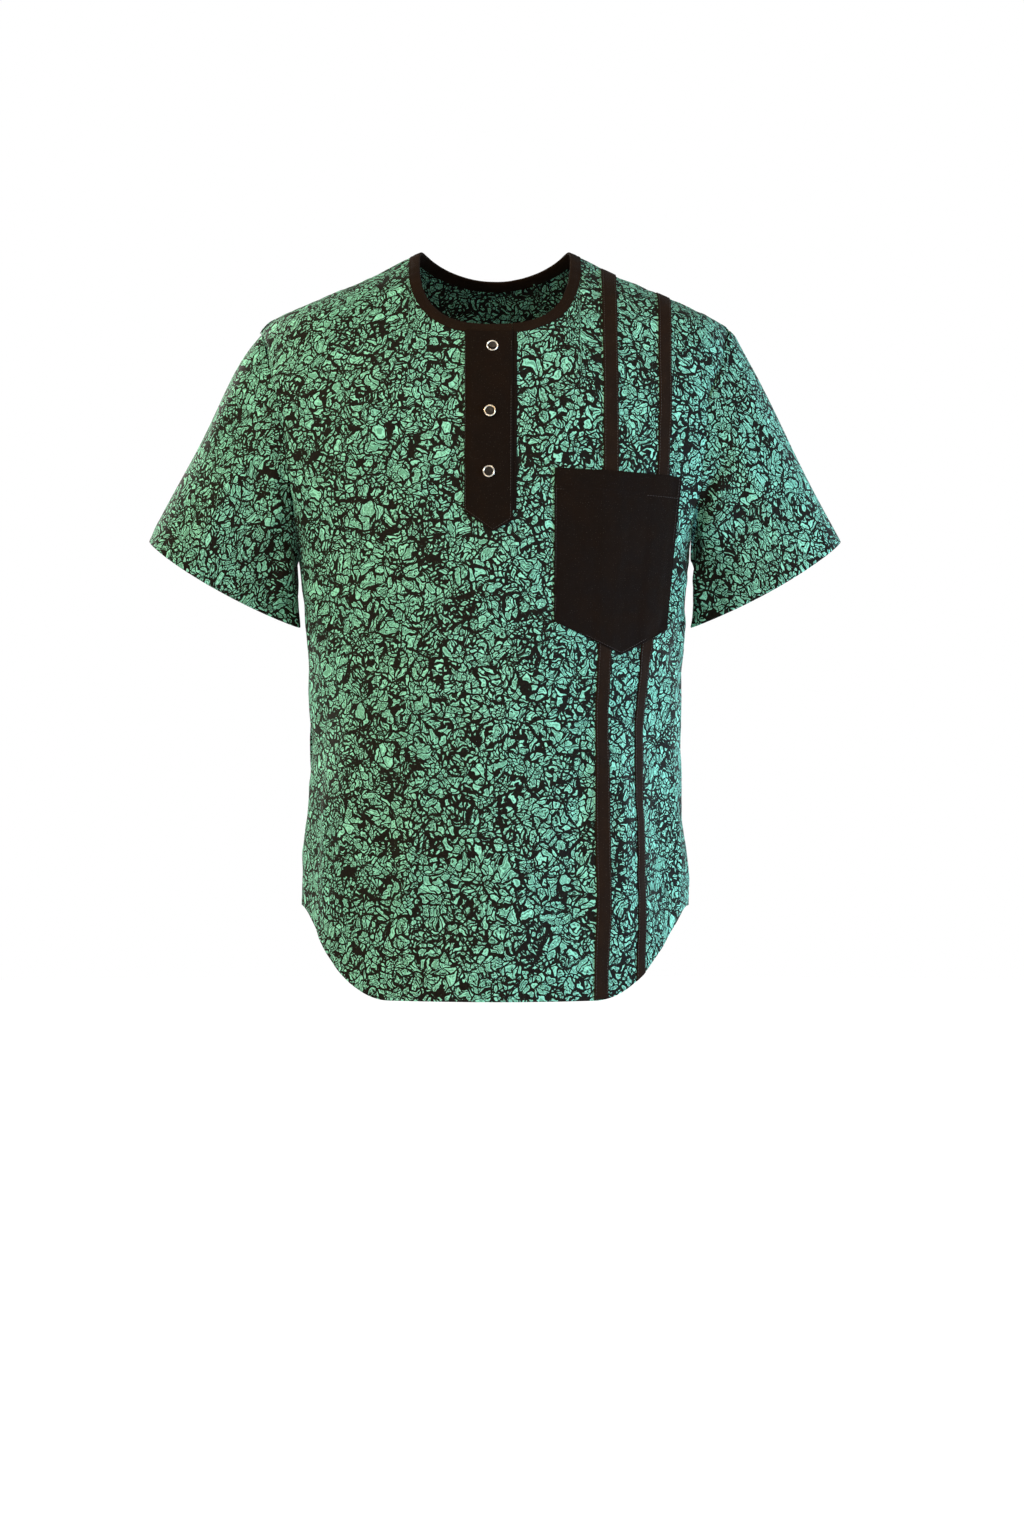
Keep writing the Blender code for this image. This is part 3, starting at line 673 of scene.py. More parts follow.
def finish(name, bm, material, nodes=(), sharp=48.0):
    """Turn a bmesh into a finished piece that rides on the frame and stands for its CAD nodes."""
    mesh = bpy.data.meshes.new(name)
    bm.to_mesh(mesh)
    bm.free()
    mesh.materials.append(material)
    mesh.shade_smooth()
    mesh.set_sharp_from_angle(angle=math.radians(sharp))
    piece = bpy.data.objects.new(name, mesh)
    bpy.context.scene.collection.objects.link(piece)
    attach(piece, "root")
    if nodes:
        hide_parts(*nodes)
    return piece


def finish_cloth(name, bm, material, nodes=(), tube=False):
    """Lay the cloth coordinates on a sheet as a UV map, close a tube, give it its two faces and rim,
    and finish it."""
    out = bm.verts.layers.float_vector["outward"]
    place = bm.verts.layers.float_vector["place"]
    upper, lower = height_layers(bm)
    uv = bm.loops.layers.uv.new("cloth")
    for face in bm.faces:
        for loop in face.loops:
            loop[uv].uv = loop.vert[place].xy
    if tube:
        bmesh.ops.remove_doubles(bm, verts=bm.verts[:], dist=0.00001)
    extruded = bmesh.ops.extrude_face_region(bm, geom=bm.faces[:], use_keep_orig=True)
    inside = {item for item in extruded["geom"] if isinstance(item, bmesh.types.BMVert)}
    for vert in bm.verts:
        vert.co += (vert[lower] if vert in inside else vert[upper]) * vert[out].normalized()
    bmesh.ops.recalc_face_normals(bm, faces=bm.faces[:])
    return finish(name, bm, material, nodes)


def sheet_area(points):
    """Area of a grid of points."""
    across = points[:, 1:] - points[:, :-1]
    up = points[1:] - points[:-1]
    cells = np.cross(across[:-1], up[:, :-1])
    return float(np.linalg.norm(cells, axis=-1).sum())


def turn_hem(points, outward, places):
    """Add the hem below row 0: round the fold, then up inside the first rows of the sheet."""
    given = bpy.context.scene.shirt_cloth
    fold = 2.0 * given.wall + 0.0001
    radius = 0.5 * fold
    down = unit(points[0] - points[1])
    hem = []
    for turn in np.radians((45.0, 90.0, 135.0, 180.0)):
        inward = radius * (1.0 - math.cos(turn))
        hem.append((
            points[0] - inward * outward[0] + radius * math.sin(turn) * down,
            math.cos(turn) * outward[0] + math.sin(turn) * down,
            places[0] - np.array((0.0, radius * turn))))
    last = hem[-1][2][:, 1]
    for row in range(1, round(given.hem_depth / given.cell) + 1):
        risen = np.linalg.norm(points[row] - points[0], axis=-1)
        hem.append((
            points[row] - fold * outward[row], -outward[row],
            np.stack([places[row, :, 0], last - risen], axis=-1)))
    return [
        np.concatenate([np.array(turned)[::-1], sheet])
        for turned, sheet in zip(zip(*hem), (points, outward, places))]


# Materials

class Graph:
    """Adds nodes to a node tree and wires them."""

    def __init__(self, tree):
        self.tree = tree

    def feed(self, sockets, values):
        """Link each named or numbered socket to its value, or set it where the value is a constant."""
        for name, value in values.items():
            if isinstance(value, bpy.types.NodeSocket):
                self.tree.links.new(value, sockets[name])
            else:
                sockets[name].default_value = value

    def add(self, kind, values=None, **settings):
        node = self.tree.nodes.new(f"ShaderNode{kind}")
        for name, value in settings.items():
            setattr(node, name, value)
        self.feed(node.inputs, values or {})
        return node.outputs

    def math(self, operation, *values, clamp=False):
        return self.add("Math", dict(enumerate(values)), operation=operation, use_clamp=clamp)[0]

    def times(self, a, b):
        return self.math("MULTIPLY", a, b)

    def minus(self, a, b):
        return self.math("SUBTRACT", a, b)

    def times_plus(self, a, b, c):
        return self.math("MULTIPLY_ADD", a, b, c)

    def most(self, *values):
        """The greatest of several values."""
        first, *others = values
        for value in others:
            first = self.math("MAXIMUM", first, value)
        return first

    def vector(self, operation, *values):
        return self.add("VectorMath", dict(enumerate(values)), operation=operation)["Vector"]

    def span(self, value, low, high, start=0.0, end=1.0):
        """value from low to high becomes start to end along a smooth step."""
        values = {"Value": value, "From Min": low, "From Max": high, "To Min": start, "To Max": end}
        return self.add("MapRange", values, interpolation_type="SMOOTHSTEP")["Result"]

    def mix(self, share, first, second):
        return self.add("Mix", {0: share, 6: first, 7: second}, data_type="RGBA")[2]

    def noise(self, place, scale, detail=1.0, roughness=0.5, size="2D", output="Fac"):
        values = {"Vector": place, "Scale": scale, "Detail": detail, "Roughness": roughness}
        return self.add("TexNoise", values, noise_dimensions=size)[output]

    def drift(self, place, scale, detail, reach):
        """Offsets in the plane that wander over it, up to half the reach each way."""
        colours = self.noise(place, scale, detail, output="Color")
        centred = self.vector("SUBTRACT", colours, (0.5, 0.5, 0.5))
        return self.vector("MULTIPLY", centred, (reach, reach, 0.0))

    def voronoi(self, place, scale, feature="DISTANCE_TO_EDGE"):
        values = {"Vector": place, "Scale": scale, "Randomness": 1.0}
        return self.add("TexVoronoi", values, voronoi_dimensions="2D", feature=feature)

    def cells(self, place, size):
        """Cells of a size in metres: the distance to their edges in metres, three random values of each
        cell, and the share of its size from its middle."""
        scale = self.math("DIVIDE", 1.0, size)
        cell = self.voronoi(place, scale, "F1")
        own = self.add("SeparateColor", {"Color": cell["Color"]})
        return self.times(self.voronoi(place, scale)["Distance"], size), own, cell["Distance"]

    def bump(self, height, strength, distance, under=(0.0, 0.0, 0.0)):
        """The normal of a relief that lies on top of another's."""
        values = {"Height": height, "Strength": strength, "Distance": distance, "Normal": under}
        return self.add("Bump", values)["Normal"]


def new_group(name, inputs, outputs):
    """An empty node group that takes values or vectors and gives values, and what builds it."""
    tree = bpy.data.node_groups.new(name, "ShaderNodeTree")
    for label, default in inputs.items():
        kind = "NodeSocketFloat" if isinstance(default, float) else "NodeSocketVector"
        tree.interface.new_socket(label, in_out="INPUT", socket_type=kind).default_value = default
    for label in outputs:
        tree.interface.new_socket(label, in_out="OUTPUT", socket_type="NodeSocketFloat")
    given, out = (tree.nodes.new(f"NodeGroup{end}") for end in ("Input", "Output"))
    return tree, Graph(tree), given.outputs, out.inputs


def crackle_group():
    """Crackle print: lobes with heavy borders, each filled with cells of its own size, slant and grain;
    rings, hatching and slivers inside some cells, and blots where the lines run together."""
    soft = 0.00013
    fine_cells = 260.0
    ring_place = 0.0021
    ring_half = 0.00026
    hatch_pitch = 0.0024
    tree, g, given, out = new_group(
        "Crackle print",
        {"Cloth": (0.0, 0.0, 0.0), "Start": (0.0, 0.0, 0.0), "Lobe": 0.019, "Cell": 0.0068, "Line": 0.00083},
        ("Line", "Nearness", "Tone"))

    def inked(gap):
        """1 where the gap to a line is below zero, with a soft edge."""
        return g.span(gap, -soft, soft, 1.0, 0.0)

    place = g.vector("ADD", given["Cloth"], given["Start"])
    jitter = g.drift(place, 230.0, 1.0, 0.0018)
    warped = g.vector("ADD", g.vector("ADD", place, g.drift(place, 42.0, 2.0, 0.022)), jitter)

    # How heavily the lines are drawn comes and goes over the cloth
    patch = g.span(g.noise(place, 30.0, 2.0, 0.6), 0.36, 0.68)
    hand = g.noise(place, 300.0, 2.0, 0.6)
    weight = g.times(g.times_plus(patch, 0.45, 0.80), g.times_plus(hand, 0.6, 0.70))
    half = g.times(given["Line"], weight)

    border, lobe, _ = g.cells(warped, given["Lobe"])
    turn = g.times(lobe[0], 2.0 * math.pi)
    rotated = g.add("VectorRotate", {"Vector": warped, "Angle": turn}, rotation_type="Z_AXIS")["Vector"]
    squeeze = g.add("CombineXYZ", {"X": 1.0, "Y": g.span(lobe[1], 0.1, 0.9, 0.60, 1.0)})["Vector"]
    grain = g.vector("MULTIPLY", rotated, squeeze)
    size = g.times(given["Cell"], g.span(lobe[2], 0.0, 1.0, 0.62, 1.30))
    edge, own, from_middle = g.cells(grain, size)
    # Lines swell where three cells meet, which rounds the cells
    corner = g.times(g.span(from_middle, 0.45, 0.90), 0.00040)
    gap = g.math("MINIMUM", g.minus(border, g.times(half, 1.45)), g.minus(g.minus(edge, half), corner))

    # Finer marks inside some of the cells: slivers, a ring and hatching, all broken here and there
    broken = g.span(g.noise(place, 430.0, 1.0), 0.36, 0.46)
    fine = g.voronoi(g.vector("ADD", warped, jitter), fine_cells)["Distance"]
    sliver_gap = g.minus(g.math("DIVIDE", fine, fine_cells), g.times(half, 0.47))
    sliver = g.times(inked(sliver_gap), g.span(own[1], 0.22, 0.26))
    ring_gap = g.minus(g.math("ABSOLUTE", g.minus(edge, ring_place)), ring_half)
    ring = g.times(inked(ring_gap), g.span(own[0], 0.42, 0.38))
    across = g.add("SeparateXYZ", {"Vector": grain})["Y"]
    wave = g.math("SINE", g.times(across, 2.0 * math.pi / hatch_pitch))
    hatch = g.times(g.span(wave, 0.35, 0.65), g.span(own[2], 0.70, 0.74))
    inner = g.times(g.most(ring, hatch, sliver), broken)
    blot = g.span(g.noise(place, 125.0, 2.0, 0.55), 0.78, 0.82)
    nearest = g.math("MINIMUM", gap, g.math("ADD", sliver_gap, 0.0003))
    g.feed(out, {
        "Line": g.most(inked(gap), inner, g.times(blot, 0.94)),
        "Nearness": g.span(nearest, 0.00005, 0.0010, 1.0, 0.0),
        "Tone": own[1]})
    return tree


def weave_group():
    """Plain weave: threads over and under, their unevenness, and a height for the bump."""
    tree, g, given, out = new_group(
        "Plain weave", {"Cloth": (0.0, 0.0, 0.0), "Pitch": 0.0004, "Slant": 0.0}, ("Height", "Thread"))
    split = g.add("SeparateXYZ", {"Vector": given["Cloth"]})
    beat = g.math("DIVIDE", 2.0 * math.pi, given["Pitch"])
    warp = g.math("SINE", g.times(g.times_plus(split["Y"], given["Slant"], split["X"]), beat))
    weft = g.math("SINE", g.times(split["Y"], beat))
    along, across = (
        g.noise(g.vector("MULTIPLY", given["Cloth"], stretch), 1.0)
        for stretch in ((2300.0, 60.0, 1.0), (60.0, 2300.0, 1.0)))
    g.feed(out, {
        "Height": g.times_plus(g.times(warp, weft), 0.5, 0.5),
        "Thread": g.times(g.math("ADD", along, across), 0.5)})
    return tree


def new_material(name):
    """A material with a Principled shader, the graph to wire it with and the shader's sockets."""
    material = bpy.data.materials.new(name)
    material.use_nodes = True
    return material, Graph(material.node_tree), material.node_tree.nodes["Principled BSDF"].inputs


def named_material(name, make, *values):
    return bpy.data.materials.get(name) or make(name, *values)


def place_group(g, name, make, **values):
    """The outputs of a node group placed in a material. It is built the first time it is asked for."""
    tree = bpy.data.node_groups.get(name) or make()
    return g.add("Group", values, node_tree=tree)


def cloth_normal(g, place, weave, slack_scale, slack_height, weave_strength, weave_height):
    """Relief of a cloth: its weave on top of the slight slack between the threads."""
    slack = g.bump(g.noise(place, slack_scale, 3.0, 0.55), 0.5, slack_height)
    return g.bump(weave["Height"], weave_strength, weave_height, slack)


def print_cloth(name, start):
    """Crackle print cotton. start moves the print on the cloth, so that each piece is cut elsewhere."""
    given = bpy.context.scene.shirt_print
    material, g, shader = new_material(name)
    place = g.add("UVMap", uv_map="cloth")["UV"]
    crackle = place_group(g, "Crackle print", crackle_group, Cloth=place, Start=start, Lobe=given.lobe,
                          Cell=given.cell, Line=given.line_width)
    weave = place_group(g, "Plain weave", weave_group, Cloth=place, Pitch=0.00045)
    cloud = g.noise(place, 9.0, 2.0)
    mottle = g.noise(place, 420.0, 2.0, 0.6)
    pale = g.times_plus(crackle["Nearness"], 0.92, g.span(mottle, 0.35, 0.65, -0.10, 0.12))
    pale = g.math("ADD", pale, g.times(crackle["Tone"], 0.10), clamp=True)
    ground = g.mix(pale, (*given.ground, 1.0), (*given.ground_pale, 1.0))
    ground = g.mix(g.span(cloud, 0.35, 0.65), ground, g.mix(0.14, ground, (0.10, 0.42, 0.33, 1.0)))
    dark = g.mix(g.span(mottle, 0.35, 0.75, 0.0, 0.6), (*given.line, 1.0), (0.012, 0.010, 0.0055, 1.0))
    inked = g.mix(crackle["Line"], ground, dark)
    threads = g.span(weave["Thread"], 0.3, 0.7, 0.90, 1.08)
    g.feed(shader, {
        "Base Color": g.add("VectorMath", {0: inked, "Scale": threads}, operation="SCALE")[0],
        "Roughness": g.times_plus(crackle["Line"], -0.10, 0.80),
        "Specular IOR Level": 0.09, "Sheen Weight": 0.02, "Sheen Roughness": 0.45,
        "Normal": cloth_normal(g, place, weave, 34.0, 0.0012, 0.45, 0.00012)})
    return material


def dark_cotton(name, lift):
    """Brown-black cotton twill with faint fading, lint and slubs. The lift makes a paler copy of it: on the
    bands this is painted light, standing for the light and sheen that fall on them.
    """
    material, g, shader = new_material(name)
    place = g.add("UVMap", uv_map="cloth")["UV"]
    weave = place_group(g, "Plain weave", weave_group, Cloth=place, Pitch=0.0006, Slant=1.0)
    # The lift pales the base colour of this copy; the bands' lift of 1.9 is painted light
    base = [min(1.0, channel * lift) for channel in bpy.context.scene.shirt_trim.cotton]
    faded = (*(min(1.0, channel * 1.7) for channel in base), 1.0)
    fade = g.noise(place, 38.0, 3.0, 0.6)
    dyed = g.mix(g.span(fade, 0.35, 0.75, 0.0, 0.6), (*base, 1.0), faded)
    dyed = g.mix(g.span(weave["Thread"], 0.42, 0.72, 0.0, 0.45), dyed, faded)
    lint = g.span(g.noise(place, 900.0, 1.0), 0.74, 0.80)
    g.feed(shader, {
        "Base Color": g.mix(g.times(lint, 0.35), dyed, (0.09, 0.075, 0.06, 1.0)),
        "Roughness": g.span(fade, 0.3, 0.7, 0.74, 0.86),
        "Specular IOR Level": 0.05, "Sheen Weight": 0.010, "Sheen Roughness": 0.40,
        "Normal": cloth_normal(g, place, weave, 60.0, 0.0008, 0.6, 0.00015)})
    return material


def sewing_thread(name):
    """Dark twisted thread."""
    thread = bpy.context.scene.shirt_trim.thread
    material, g, shader = new_material(name)
    strands = g.noise(g.add("TexCoord")["Object"], 2600.0, 1.0, size="3D")
    paler = [min(1.0, 2.2 * channel) for channel in thread]
    g.feed(shader, {
        "Base Color": g.mix(strands, (*thread, 1.0), (*paler, 1.0)), "Roughness": 0.55,
        "Normal": g.bump(strands, 0.5, 0.0001)})
    return material


def snap_rim(name, painted_glint):
    """Polished silver metal rim, with gold painted into its colour here and there as a painted golden
    reflection.
    """
    given = bpy.context.scene.shirt_trim
    material, g, shader = new_material(name)
    place = g.add("TexCoord")["Object"]
    # Painted reflection: patches of gold in the rim's colour, as much of it as the snap's share asks for
    share = g.times(g.span(g.noise(place, 260.0, 3.0, 0.6, size="3D"), 0.40, 0.62), painted_glint)
    fine = g.noise(place, 2400.0, 2.0, size="3D")
    g.feed(shader, {
        "Base Color": g.mix(share, (*given.metal, 1.0), (*given.gold, 1.0)), "Metallic": 1.0,
        "Roughness": g.span(fine, 0.3, 0.7, 0.22, 0.38), "Normal": g.bump(fine, 0.15, 0.00005)})
    return material


def snap_lacquer(name):
    """Dark lacquer on the snap's cap."""
    material, g, shader = new_material(name)
    dust = g.noise(g.add("TexCoord")["Object"], 1500.0, 2.0, 0.6, size="3D")
    lacquer = (0.006, 0.004, 0.003, 1.0)
    dusty = (0.016, 0.012, 0.009, 1.0)
    g.feed(shader, {
        "Base Color": g.mix(g.span(dust, 0.45, 0.75), lacquer, dusty),
        "Roughness": g.span(dust, 0.35, 0.7, 0.32, 0.50), "Specular IOR Level": 0.30,
        "Normal": g.bump(dust, 0.1, 0.00005)})
    return material


def studio_floor(name):
    """Matt pale floor paint."""
    given = bpy.context.scene.shirt_stage
    material, g, shader = new_material(name)
    patch = g.noise(g.add("TexCoord")["Object"], 1.2, 2.0, size="3D")
    darker = [0.985 * channel for channel in given.floor_colour]
    # The floor glows only to the eye, so that it stays as pale far from the lamps and lights nothing
    seen = g.add("LightPath")["Is Camera Ray"]
    g.feed(shader, {
        "Base Color": g.mix(patch, (*darker, 1.0), (*given.floor_colour, 1.0)),
        "Roughness": 0.9, "Specular IOR Level": 0.1,
        "Emission Color": g.mix(seen, (0.0, 0.0, 0.0, 1.0), (1.0, 1.0, 1.0, 1.0)),
        "Emission Strength": given.floor_glow})
    return material


# Pieces

def sewn_panel(facing):
    """Points, way out, cloth coordinates and armpit row of a whole panel. Its edges sink into their
    seams, and the cloth beside them is ruffled, as sewing does."""
    given = bpy.context.scene.shirt_cloth
    seed = 41 + facing
    columns, number = column_table(given.cell)
    bare, armpit = form_rows(facing, columns, given.cell)
    points, outward = dressed(facing, bare)
    yoke = armpit + round((YOKE_Z - ARMPIT_Z) / given.cell)
    places = cloth_map(points, number["placket_middle"], yoke)
    # The cloth's grain is upright: below the yoke, level rows of the body are level in the cloth
    places[:yoke, :, 1] = points[:yoke, :, 2] - YOKE_Z

    across = lengths(points, 1)
    up = lengths(points, 0)
    sides = np.minimum(across, across[:, -1:] - across)
    from_hem_seam = up - given.hem_depth
    ruffle = waves(places[..., ::-1] * (1.0, 0.35), 0.017, seed)
    crosswise = waves(places * (1.0, 0.35), 0.019, seed + 1)
    at_arm = smoothstep((np.arange(len(points))[:, None] - armpit + 6) / 8.0)
    move = given.pucker * (
        ruffle * near(sides, 0.010, 1.5) * (0.55 + 0.45 * at_arm)
        + crosswise * (0.8 * near(up[-1:, :] - up, 0.009, 1.5) + 0.5 * near(from_hem_seam, 0.006)))
    move -= at_arm * sink(sides, ARMHOLE_SINK) + (1.0 - at_arm) * sink(sides, SIDE_SINK)
    move -= sink(from_hem_seam, HEM_SINK)
    return points + move[..., None] * outward, outward, places, armpit


class SHIRT_OT_front_and_back(bpy.types.Operator):
    """Build the front and back panels with their turned hem"""
    bl_idname = "shirt.front_and_back"
    bl_label = "Front and back"

    def execute(self, context):
        given = context.scene.shirt_cloth
        for name, facing in (("front", FRONT), ("back", BACK)):
            points, outward, places, _ = sewn_panel(facing)
            area = sheet_area(points)
            width = float(np.ptp(lengths(points, 1), axis=1).max())
            area += width * given.hem_depth
            points, outward, places = turn_hem(points, outward, places)
            if facing == BACK:
                points = points + np.array((0.0, SEAM_GAP, 0.0))
            bm = cloth_sheet(points, outward, places, bottom=-given.wall)
            material = print_cloth(f"print_{name}", PRINT_STARTS[name])
            piece = finish_cloth(name, bm, material, (name,))
        return {"FINISHED"}


class SHIRT_OT_side_turnings(bpy.types.Operator):
    """Build the seam turnings, pressed open behind the side seams"""
    bl_idname = "shirt.side_turnings"
    bl_label = "Side seam turnings"

    def execute(self, context):
        given = context.scene.shirt_cloth
        across = round(given.turning / given.cell) + 1
        panels = [sewn_panel(facing) for facing in (FRONT, BACK)]
        for name, side in (("left", 1.0), ("right", -1.0)):
            edges = []
            for points, outward, _, armpit in panels:
                first = points[0, 0, 0] * side > 0.0
                take = slice(0, across) if first else slice(-1, -across - 1, -1)
                edges.append((points[1:armpit, take], outward[1:armpit, take]))
            points, outward = (np.concatenate([front[:, ::-1], back], axis=1) for front, back in zip(*edges))
            over_hem = smoothstep(1.0 - lengths(points, 0) / (1.5 * given.hem_depth))
            below = given.wall * (TURNING_WALLS_BELOW + HEM_WALLS_BELOW * over_hem)
            points = points - below[..., None] * outward
            places = np.stack([lengths(points, 1), points[..., 2]], axis=-1)
            bm = cloth_sheet(points, outward, places, bottom=-given.wall)
            material = named_material("print_turnings", print_cloth, PRINT_STARTS["turnings"])
            piece = finish_cloth(f"side_turning_{name}", bm, material)
        return {"FINISHED"}


def cuff_point(turn):
    """A point of the left cuff: turn 0 is its outer tip, a quarter turn its front."""
    middle = (CUFF_INNER + CUFF_OUTER) / 2.0
    reach = (CUFF_OUTER - CUFF_INNER) / 2.0
    forward = np.array((0.0, -1.0, -CUFF_TILT))
    cosine = np.cos(turn)[:, None]
    sine = np.sin(turn)[:, None]
    half_depth = CUFF_HALF_DEPTH * (1.0 - CUFF_PINCH * (1.0 - cosine) / 2.0)
    sag = np.array((0.0, 0.0, -CUFF_SAG)) * sine ** 2
    return middle + reach * cosine + forward * half_depth * sine + sag


def armhole(cell):
    """The left armhole's edge on the bare form, from the armpit up the front and down the back, and
    its turns in radians: half a turn at the armpit, 0 at the shoulder tip."""
    sides = []
    for facing in (FRONT, BACK):
        rows, armpit = form_rows(facing, LINE["left_side"][None], cell)
        rows = rows[armpit:, 0]
        travelled = lengths(rows[None], 1)[0]
        sides.append((rows, math.pi * (1.0 - travelled / travelled[-1])))
    (front, front_turn), (back, back_turn) = sides
    return np.concatenate([front, back[-2::-1]]), np.concatenate([front_turn, -back_turn[-2::-1]])


def sleeve_rings(side):
    """Rings of a sleeve from armhole to cuff, each closed at the underarm, and their turns."""
    cell = bpy.context.scene.shirt_cloth.cell
    hole, turn = armhole(cell)
    hole = hole + np.array((SLEEVE_SEAM_SHIFT, 0.5 * SEAM_GAP, 0.0))
    cuff = cuff_point(turn)
    chord = cuff - hole
    under = (1.0 - np.cos(turn)[:, None]) / 2.0
    lean = np.array((1.0, 0.0, 0.0)) * blend(*SLEEVE_LEAN, under)
    leaving = unit(unit(chord) + lean) * np.linalg.norm(chord, axis=1, keepdims=True)
    leaving = leaving * blend(*SLEEVE_START_PULL, under)
    cells = round(SLEEVE_RUN / cell)
    rows = [
        hermite((i / cells) ** SLEEVE_CELL_GROWTH, hole, leaving, cuff, chord * SLEEVE_END_PULL)
        for i in range(cells + 1)]
    return np.array(rows) * np.array((side, 1.0, 1.0)), np.degrees(turn)


def sleeve_map(points):
    """Cloth coordinates of a sleeve as if it was unrolled: round its axis, and along it."""
    first = points[0].mean(axis=0)
    axis = unit(points[-1].mean(axis=0) - first)
    away = points - first
    along = away @ axis
    ahead = unit(np.cross(axis, np.array((axis[2], 0.0, -axis[0]))))
    beside = np.cross(axis, ahead)
    across = away - along[..., None] * axis
    round_axis = np.unwrap(np.arctan2(across @ ahead, across @ beside), axis=1)
    around = lengths(points, 1)[:, -1].mean() / (2.0 * math.pi)
    return np.stack([around * round_axis, -along], axis=-1)


def tube_outward(points):
    """Unit vectors that point out of a ring-by-ring tube."""
    ring = points[:, :-1]
    around = np.roll(ring, -1, axis=1) - np.roll(ring, 1, axis=1)
    outward = unit(np.cross(around, np.gradient(ring, axis=0)))
    if np.sum(outward * (ring - ring.mean(axis=1, keepdims=True))) < 0.0:
        outward = -outward
    return np.concatenate([outward, outward[:, :1]], axis=1)


def sleeve_relief(side, points, turn):
    """Creases, unevenness and seam puckers of a sleeve."""
    given = bpy.context.scene.shirt_cloth
    share = np.linspace(0.0, 1.0, len(points))[:, None] * np.ones(len(turn))
    around = np.ones((len(points), 1)) * turn
    height = np.zeros(share.shape)
    # Degrees and shares of the length are put on one scale before a crease is drawn
    degrees = 60.0
    sleeve = 2.4
    for which, turn0, share0, turn1, share1, half, rise in SLEEVE_CREASES:
        if which in (0, side):
            shift = 4.0 * side if which == 0 else 0.0
            start = ((turn0 + shift) / degrees, share0 * sleeve)
            end = ((turn1 + shift) / degrees, share1 * sleeve)
            height += ridge(around % 360.0 / degrees, share * sleeve, start, end, 0.10 * side,
                            half / degrees, given.crease * rise)
    ring = SLEEVE_RADIUS * np.stack([np.cos(np.radians(around)), np.sin(np.radians(around))], axis=-1)

    def uneven(reach, wavelength, seed):
        return waves(np.concatenate([ring, reach * share[..., None]], axis=-1), wavelength, seed + side)

    height += given.undulation * uneven(0.2, 0.075, 61)
    from_seam = lengths(points, 0)
    to_cuff_seam = from_seam[-1:] - from_seam - given.hem_depth
    height += given.pucker * uneven(0.02, 0.020, 71) * (
        1.2 * near(from_seam, 0.012, 1.5) + 0.6 * near(to_cuff_seam, 0.007))
    from_underarm = (180.0 - np.abs(around)) * 0.0011
    return height - sink(from_underarm, UNDERARM_SINK) - sink(from_seam, SLEEVE_SINK)


class SHIRT_OT_sleeves(bpy.types.Operator):
    """Build the two set-in sleeves with their turned cuffs"""
    bl_idname = "shirt.sleeves"
    bl_label = "Sleeves"

    def execute(self, context):
        given = context.scene.shirt_cloth
        for name, side in (("sleeve_left", 1), ("sleeve_right", -1)):
            points, turn = sleeve_rings(side)
            outward = tube_outward(points)
            points = points + sleeve_relief(side, points, turn)[..., None] * outward
            points[:, -1] = points[:, 0]
            places = sleeve_map(points)
            bm = cloth_sheet(*turn_hem(points[::-1], outward[::-1], places[::-1]), bottom=-given.wall)
            material = print_cloth(f"print_{name}", PRINT_STARTS[name])
            piece = finish_cloth(name, bm, material, (name,), tube=True)
        return {"FINISHED"}


STRIP_SHARES = (0.0, 0.03, 0.08, 0.14, 0.22, 0.35, 0.5, 0.65, 0.78, 0.86, 0.92, 0.97, 1.0)
STRIP_MIDDLE = len(STRIP_SHARES) // 2


def rows_above(low, column, *grids):
    """The rows of grids of points and ways out whose points lie above a level in the given column."""
    inside = grids[0][:, column, 2] > low
    return [grid[inside] for grid in grids]


def strip(first, last, low, top):
    """A strip of cloth on the front between two lines, with folded edges, as a grid."""
    given = bpy.context.scene.shirt_cloth
    bare, _ = form_rows(FRONT, strip_columns(first, last), given.cell)
    points, outward = rows_above(low, STRIP_MIDDLE, *dressed(FRONT, bare))
    places = cloth_map(points, STRIP_MIDDLE, 0)
    across = lengths(points, 1)
    distance = np.minimum(across, across[:, -1:] - across)
    height = np.vectorize(folded_edge)(distance, top - REST_GAP, given.edge_stitch) + REST_GAP
    return points, outward, places, height, distance


def band_strip(name):
    return strip(f"{name}_band_in", f"{name}_band_out", -2.0, BAND_TOP)


class SHIRT_OT_bands(bpy.types.Operator):
    """Build the two dark bands that run from the shoulder to the hem"""
    bl_idname = "shirt.bands"
    bl_label = "Bands"

    def execute(self, context):
        for name in ("inner", "outer"):
            points, outward, places, height, _ = band_strip(name)
            bm = cloth_sheet(points, outward, places, height, 0.00012)
            # Painted light: the bands' cotton is made 1.9 times paler, for the light and sheen that fall on
            # them
            piece = finish_cloth(f"band_{name}", bm, named_material("dark_cotton_bands", dark_cotton, 1.9),
                                 (f"band_{name}",))
        return {"FINISHED"}


def pocket_lift(angle):
    """How far the pocket is lifted over the bands, by the chest angle of a place."""
    ramp = 3.2
    lift = 0.0
    for name in ("inner", "outer"):
        first = LINE[f"{name}_band_in"][0]
        last = LINE[f"{name}_band_out"][0]
        rise = smoothstep((angle - first + ramp) / ramp) * smoothstep((last + ramp - angle) / ramp)
        lift = lift + BAND_TOP * rise
    return lift


